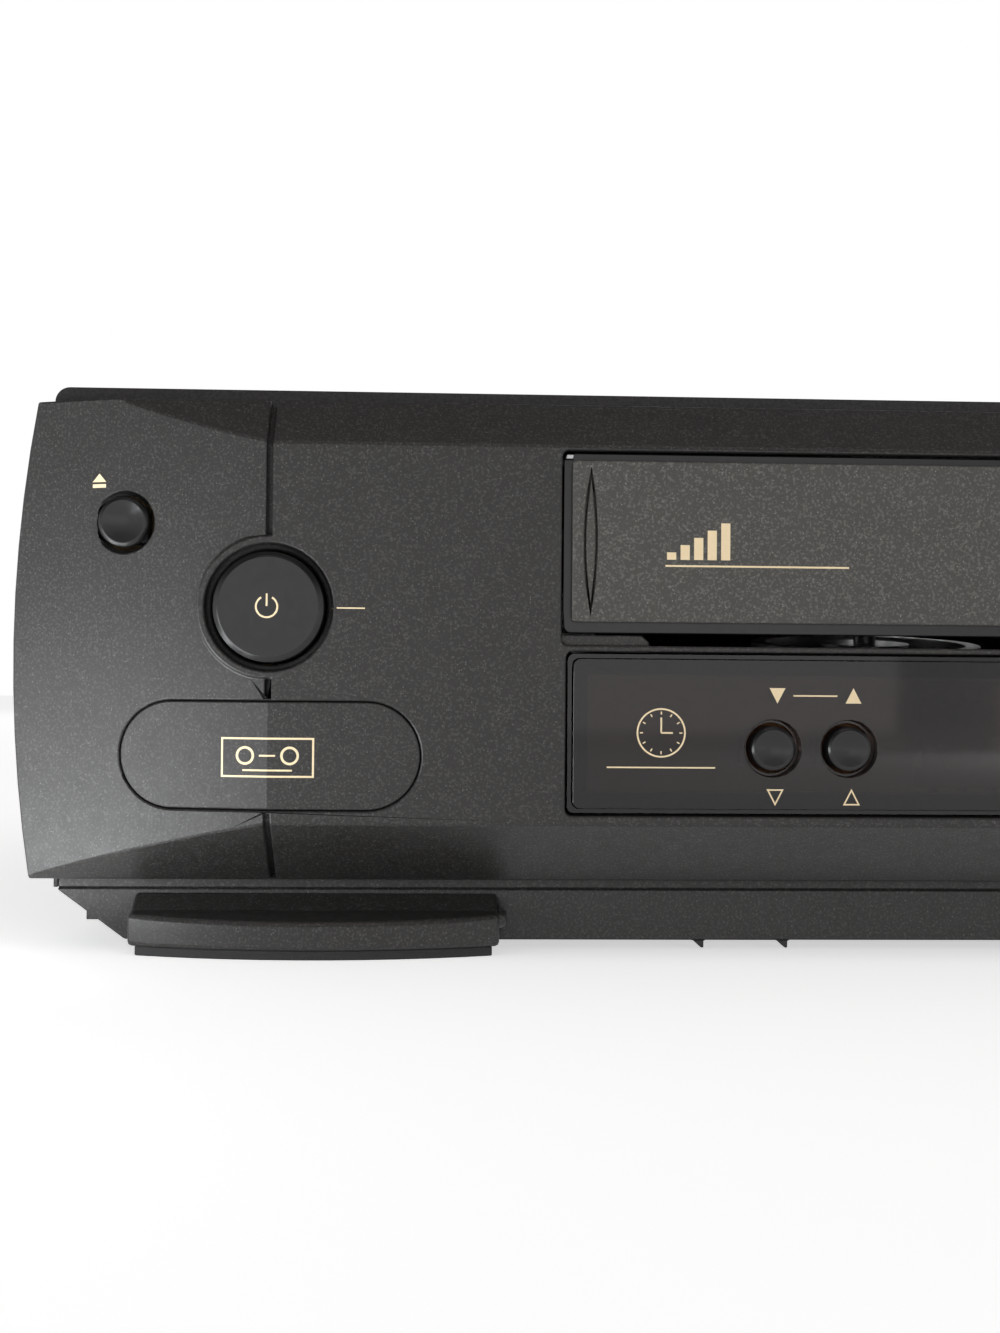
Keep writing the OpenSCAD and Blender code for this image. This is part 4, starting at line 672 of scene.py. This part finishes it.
marks += [
    printed("play_symbol", buttons["play_button"], play_symbol),
    printed("rewind_symbol", front, winding_symbol(122.8, 90)),
    printed("fast_forward_symbol", front, winding_symbol(169.8, -90)),
    printed("record_symbol", front, lambda bm: disc(bm, 170.4, 78.1, 1.1, 32)),
    printed("stop_symbol", buttons["stop_button"], lambda bm: strip(bm, 133.5, 33.3, 2.6, 2.6, pieces=2)),
    printed(
        "pause_symbol",
        buttons["pause_button"],
        lambda bm: [strip(bm, 158.6 + side * 0.75, 33.3, 0.8, 2.8, pieces=1) for side in (-1, 1)],
    ),
]
print("all marks:", len(marks))

# %% [markdown]
# A small grey steel lug shows in the cut-away upper corner of the door: a block with softened edges
# whose left side leans. It rides on the door.

# %% The lug in the door's corner
LUG_SIZE = (1.7 * MM, 0.6 * MM, 1.2 * MM)
LUG_AT = Vector((-98.0, -142.55, 81.85)) * MM
LUG_LEAN = 0.35 * MM
LUG_ROUNDING = 0.15 * MM
lug_mesh = bpy.data.meshes.new("door_corner_lug")
bm = bmesh.new()
bmesh.ops.create_cube(bm, size=1)
bmesh.ops.scale(bm, verts=bm.verts, vec=LUG_SIZE)
bmesh.ops.translate(bm, verts=bm.verts, vec=LUG_AT)
for vert in bm.verts:
    if vert.co.x < LUG_AT.x and vert.co.z > LUG_AT.z:
        vert.co.x += LUG_LEAN
bmesh.ops.bevel(
    bm,
    geom=list(bm.edges),
    offset=LUG_ROUNDING,
    offset_type="OFFSET",
    segments=2,
    profile=0.5,
    affect="EDGES",
    material=-1,
)
bm.to_mesh(lug_mesh)
bm.free()
lug_mesh.materials.append(materials["bare_steel"])
lug = bpy.data.objects.new("door_corner_lug", lug_mesh)
bpy.context.scene.collection.objects.link(lug)
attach(lug, "cassette_door")
print("lug at the door's corner")

# %% [markdown]
# ## Floor and background
#
# The recorder stands on a white floor before a white background. The floor is a matt white that also
# glows a little for the camera and in mirror images, so it looks white there and still takes shadows.
# The background is full white for the camera and through the window. It is weaker as a source of
# light. In mirror images it is a little under white, with a dark ceiling.

# %% White stage
AMBIENT = 0.38  # strength of the background as a source of light
FRONT_ROOM = 0.9  # its strength in mirror images, on the camera's side
BACK_ROOM = 0.6  # and on the far side of the recorder
CEILING = 0.15  # the share of that strength which is left overhead
FLOOR_WHITE = 0.85
FLOOR_GLOW = 0.56
FLOOR_REACH = 6  # metres to each side


def either_ray(tree, rays, first, second):
    """1 for rays of either of two kinds, and 0 for all others."""
    kinds = {"_0": rays.outputs[first], "_1": rays.outputs[second]}
    return add_node(tree, "ShaderNodeMath", {"operation": "MAXIMUM"}, **kinds).outputs[0]


def product(tree, a, b):
    return add_node(tree, "ShaderNodeMath", {"operation": "MULTIPLY"}, _0=a, _1=b).outputs[0]


def stage_white(name, white, glow):
    """A white diffuse surface that also glows a little for the camera and in mirror images, so that it
    stays white there but keeps the shadows."""
    material = bpy.data.materials.new(name)
    material.use_nodes = True
    tree = material.node_tree
    tree.nodes.clear()
    shown = either_ray(tree, tree.nodes.new("ShaderNodeLightPath"), "Is Camera Ray", "Is Glossy Ray")
    glowing = add_node(tree, "ShaderNodeEmission", Strength=product(tree, shown, glow))
    diffuse = add_node(tree, "ShaderNodeBsdfDiffuse", Color=(white, white, white, 1))
    both = add_node(tree, "ShaderNodeAddShader", _0=diffuse.outputs[0], _1=glowing.outputs[0])
    add_node(tree, "ShaderNodeOutputMaterial", Surface=both.outputs[0])
    return material


floor_mesh = bpy.data.meshes.new("floor")
bm = bmesh.new()
bmesh.ops.create_grid(bm, x_segments=1, y_segments=1, size=FLOOR_REACH)
bm.to_mesh(floor_mesh)
bm.free()
floor_mesh.materials.append(stage_white("white_floor", FLOOR_WHITE, FLOOR_GLOW))
floor = bpy.data.objects.new("floor", floor_mesh)
bpy.context.scene.collection.objects.link(floor)

world = bpy.data.worlds.new("white_room")
bpy.context.scene.world = world
world.use_nodes = True
sky = world.node_tree
sky.nodes.clear()


def sky_white(strength):
    """A white background of some strength."""
    return add_node(sky, "ShaderNodeBackground", Color=(1, 1, 1, 1), Strength=strength).outputs[0]


def sky_ramp(value, start, end, at_start, at_end):
    """A brightness that changes evenly from one value to another."""
    return add_node(
        sky, "ShaderNodeMapRange", Value=value, From_Min=start, From_Max=end, To_Min=at_start, To_Max=at_end
    ).outputs[0]


heading = add_node(sky, "ShaderNodeSeparateXYZ", _0=add_node(sky, "ShaderNodeTexCoord").outputs["Generated"])
room = sky_ramp(heading.outputs["Y"], -0.1, 0.5, FRONT_ROOM, BACK_ROOM)
overhead = sky_ramp(heading.outputs["Z"], 0.15, 0.6, 1.0, CEILING)
rays = add_node(sky, "ShaderNodeLightPath")
glossy_or_light = add_node(
    sky,
    "ShaderNodeMixShader",
    _0=rays.outputs["Is Glossy Ray"],
    _1=sky_white(AMBIENT),
    _2=sky_white(product(sky, room, overhead)),
)
shown = either_ray(sky, rays, "Is Camera Ray", "Is Transmission Ray")
chosen = add_node(sky, "ShaderNodeMixShader", _0=shown, _1=glossy_or_light.outputs[0], _2=sky_white(1.0))
add_node(sky, "ShaderNodeOutputWorld", Surface=chosen.outputs[0])
print("white floor and background")

# %% [markdown]
# ## Lamps
#
# Three small lamps stand low at the left, so that the left cheek is the lightest part of the front. A
# wide one, low at the right, does the same more weakly and is kept out of mirror images. One lamp in
# front, one above and one behind fill in the rest. Places are in metres and powers in watts.

# %% Lamps
def soft_lamp(name, at, towards, width, height, power, colour=(1, 1, 1)):
    """A rectangular area lamp at a point, facing another point, both in metres."""
    data = bpy.data.lights.new(name, "AREA")
    data.shape = "RECTANGLE"
    data.size, data.size_y = width, height
    data.energy = power
    data.color = colour
    lamp = bpy.data.objects.new(name, data)
    bpy.context.scene.collection.objects.link(lamp)
    lamp.location = at
    lamp.rotation_euler = (Vector(towards) - Vector(at)).to_track_quat("-Z", "Y").to_euler()
    lamp.visible_camera = False
    return lamp


COOL, WARM, WARMER = (0.95, 0.98, 1.0), (1.0, 0.94, 0.92), (1.0, 0.86, 0.84)
soft_lamp("low_glow_left", (-0.28, -0.23, 0.025), (-0.17, -0.135, 0.02), 0.14, 0.05, 0.09, COOL)
soft_lamp("low_glow_corner", (-0.21, -0.155, 0.006), (-0.185, -0.13, 0.04), 0.05, 0.03, 0.018, COOL)
soft_lamp("low_glow_below", (-0.22, -0.20, 0.004), (-0.22, -0.20, 1.0), 0.1, 0.1, 0.13, COOL)
soft_lamp("low_glow_right", (0.5, -0.9, 0.1), (0.0, -0.13, 0.03), 0.5, 0.2, 2.6).visible_glossy = False
soft_lamp("front_light", (-0.12, -1.6, 0.15), (-0.1, -0.1, 0.03), 1.0, 0.3, 0.45, WARM)
soft_lamp("top_light", (0.0, -0.7, 1.3), (0.0, -0.1, 0.05), 1.0, 0.6, 1.6, WARMER)
soft_lamp("back_light", (0.5, 2.0, 0.8), (0.0, 0.1, 0.05), 1.5, 1.0, 6)
print("soft lamps")

# %% [markdown]
# ## Picture settings
#
# The Standard view shows colours as they are written.

# %% Finish
bpy.context.scene.view_settings.view_transform = "Standard"
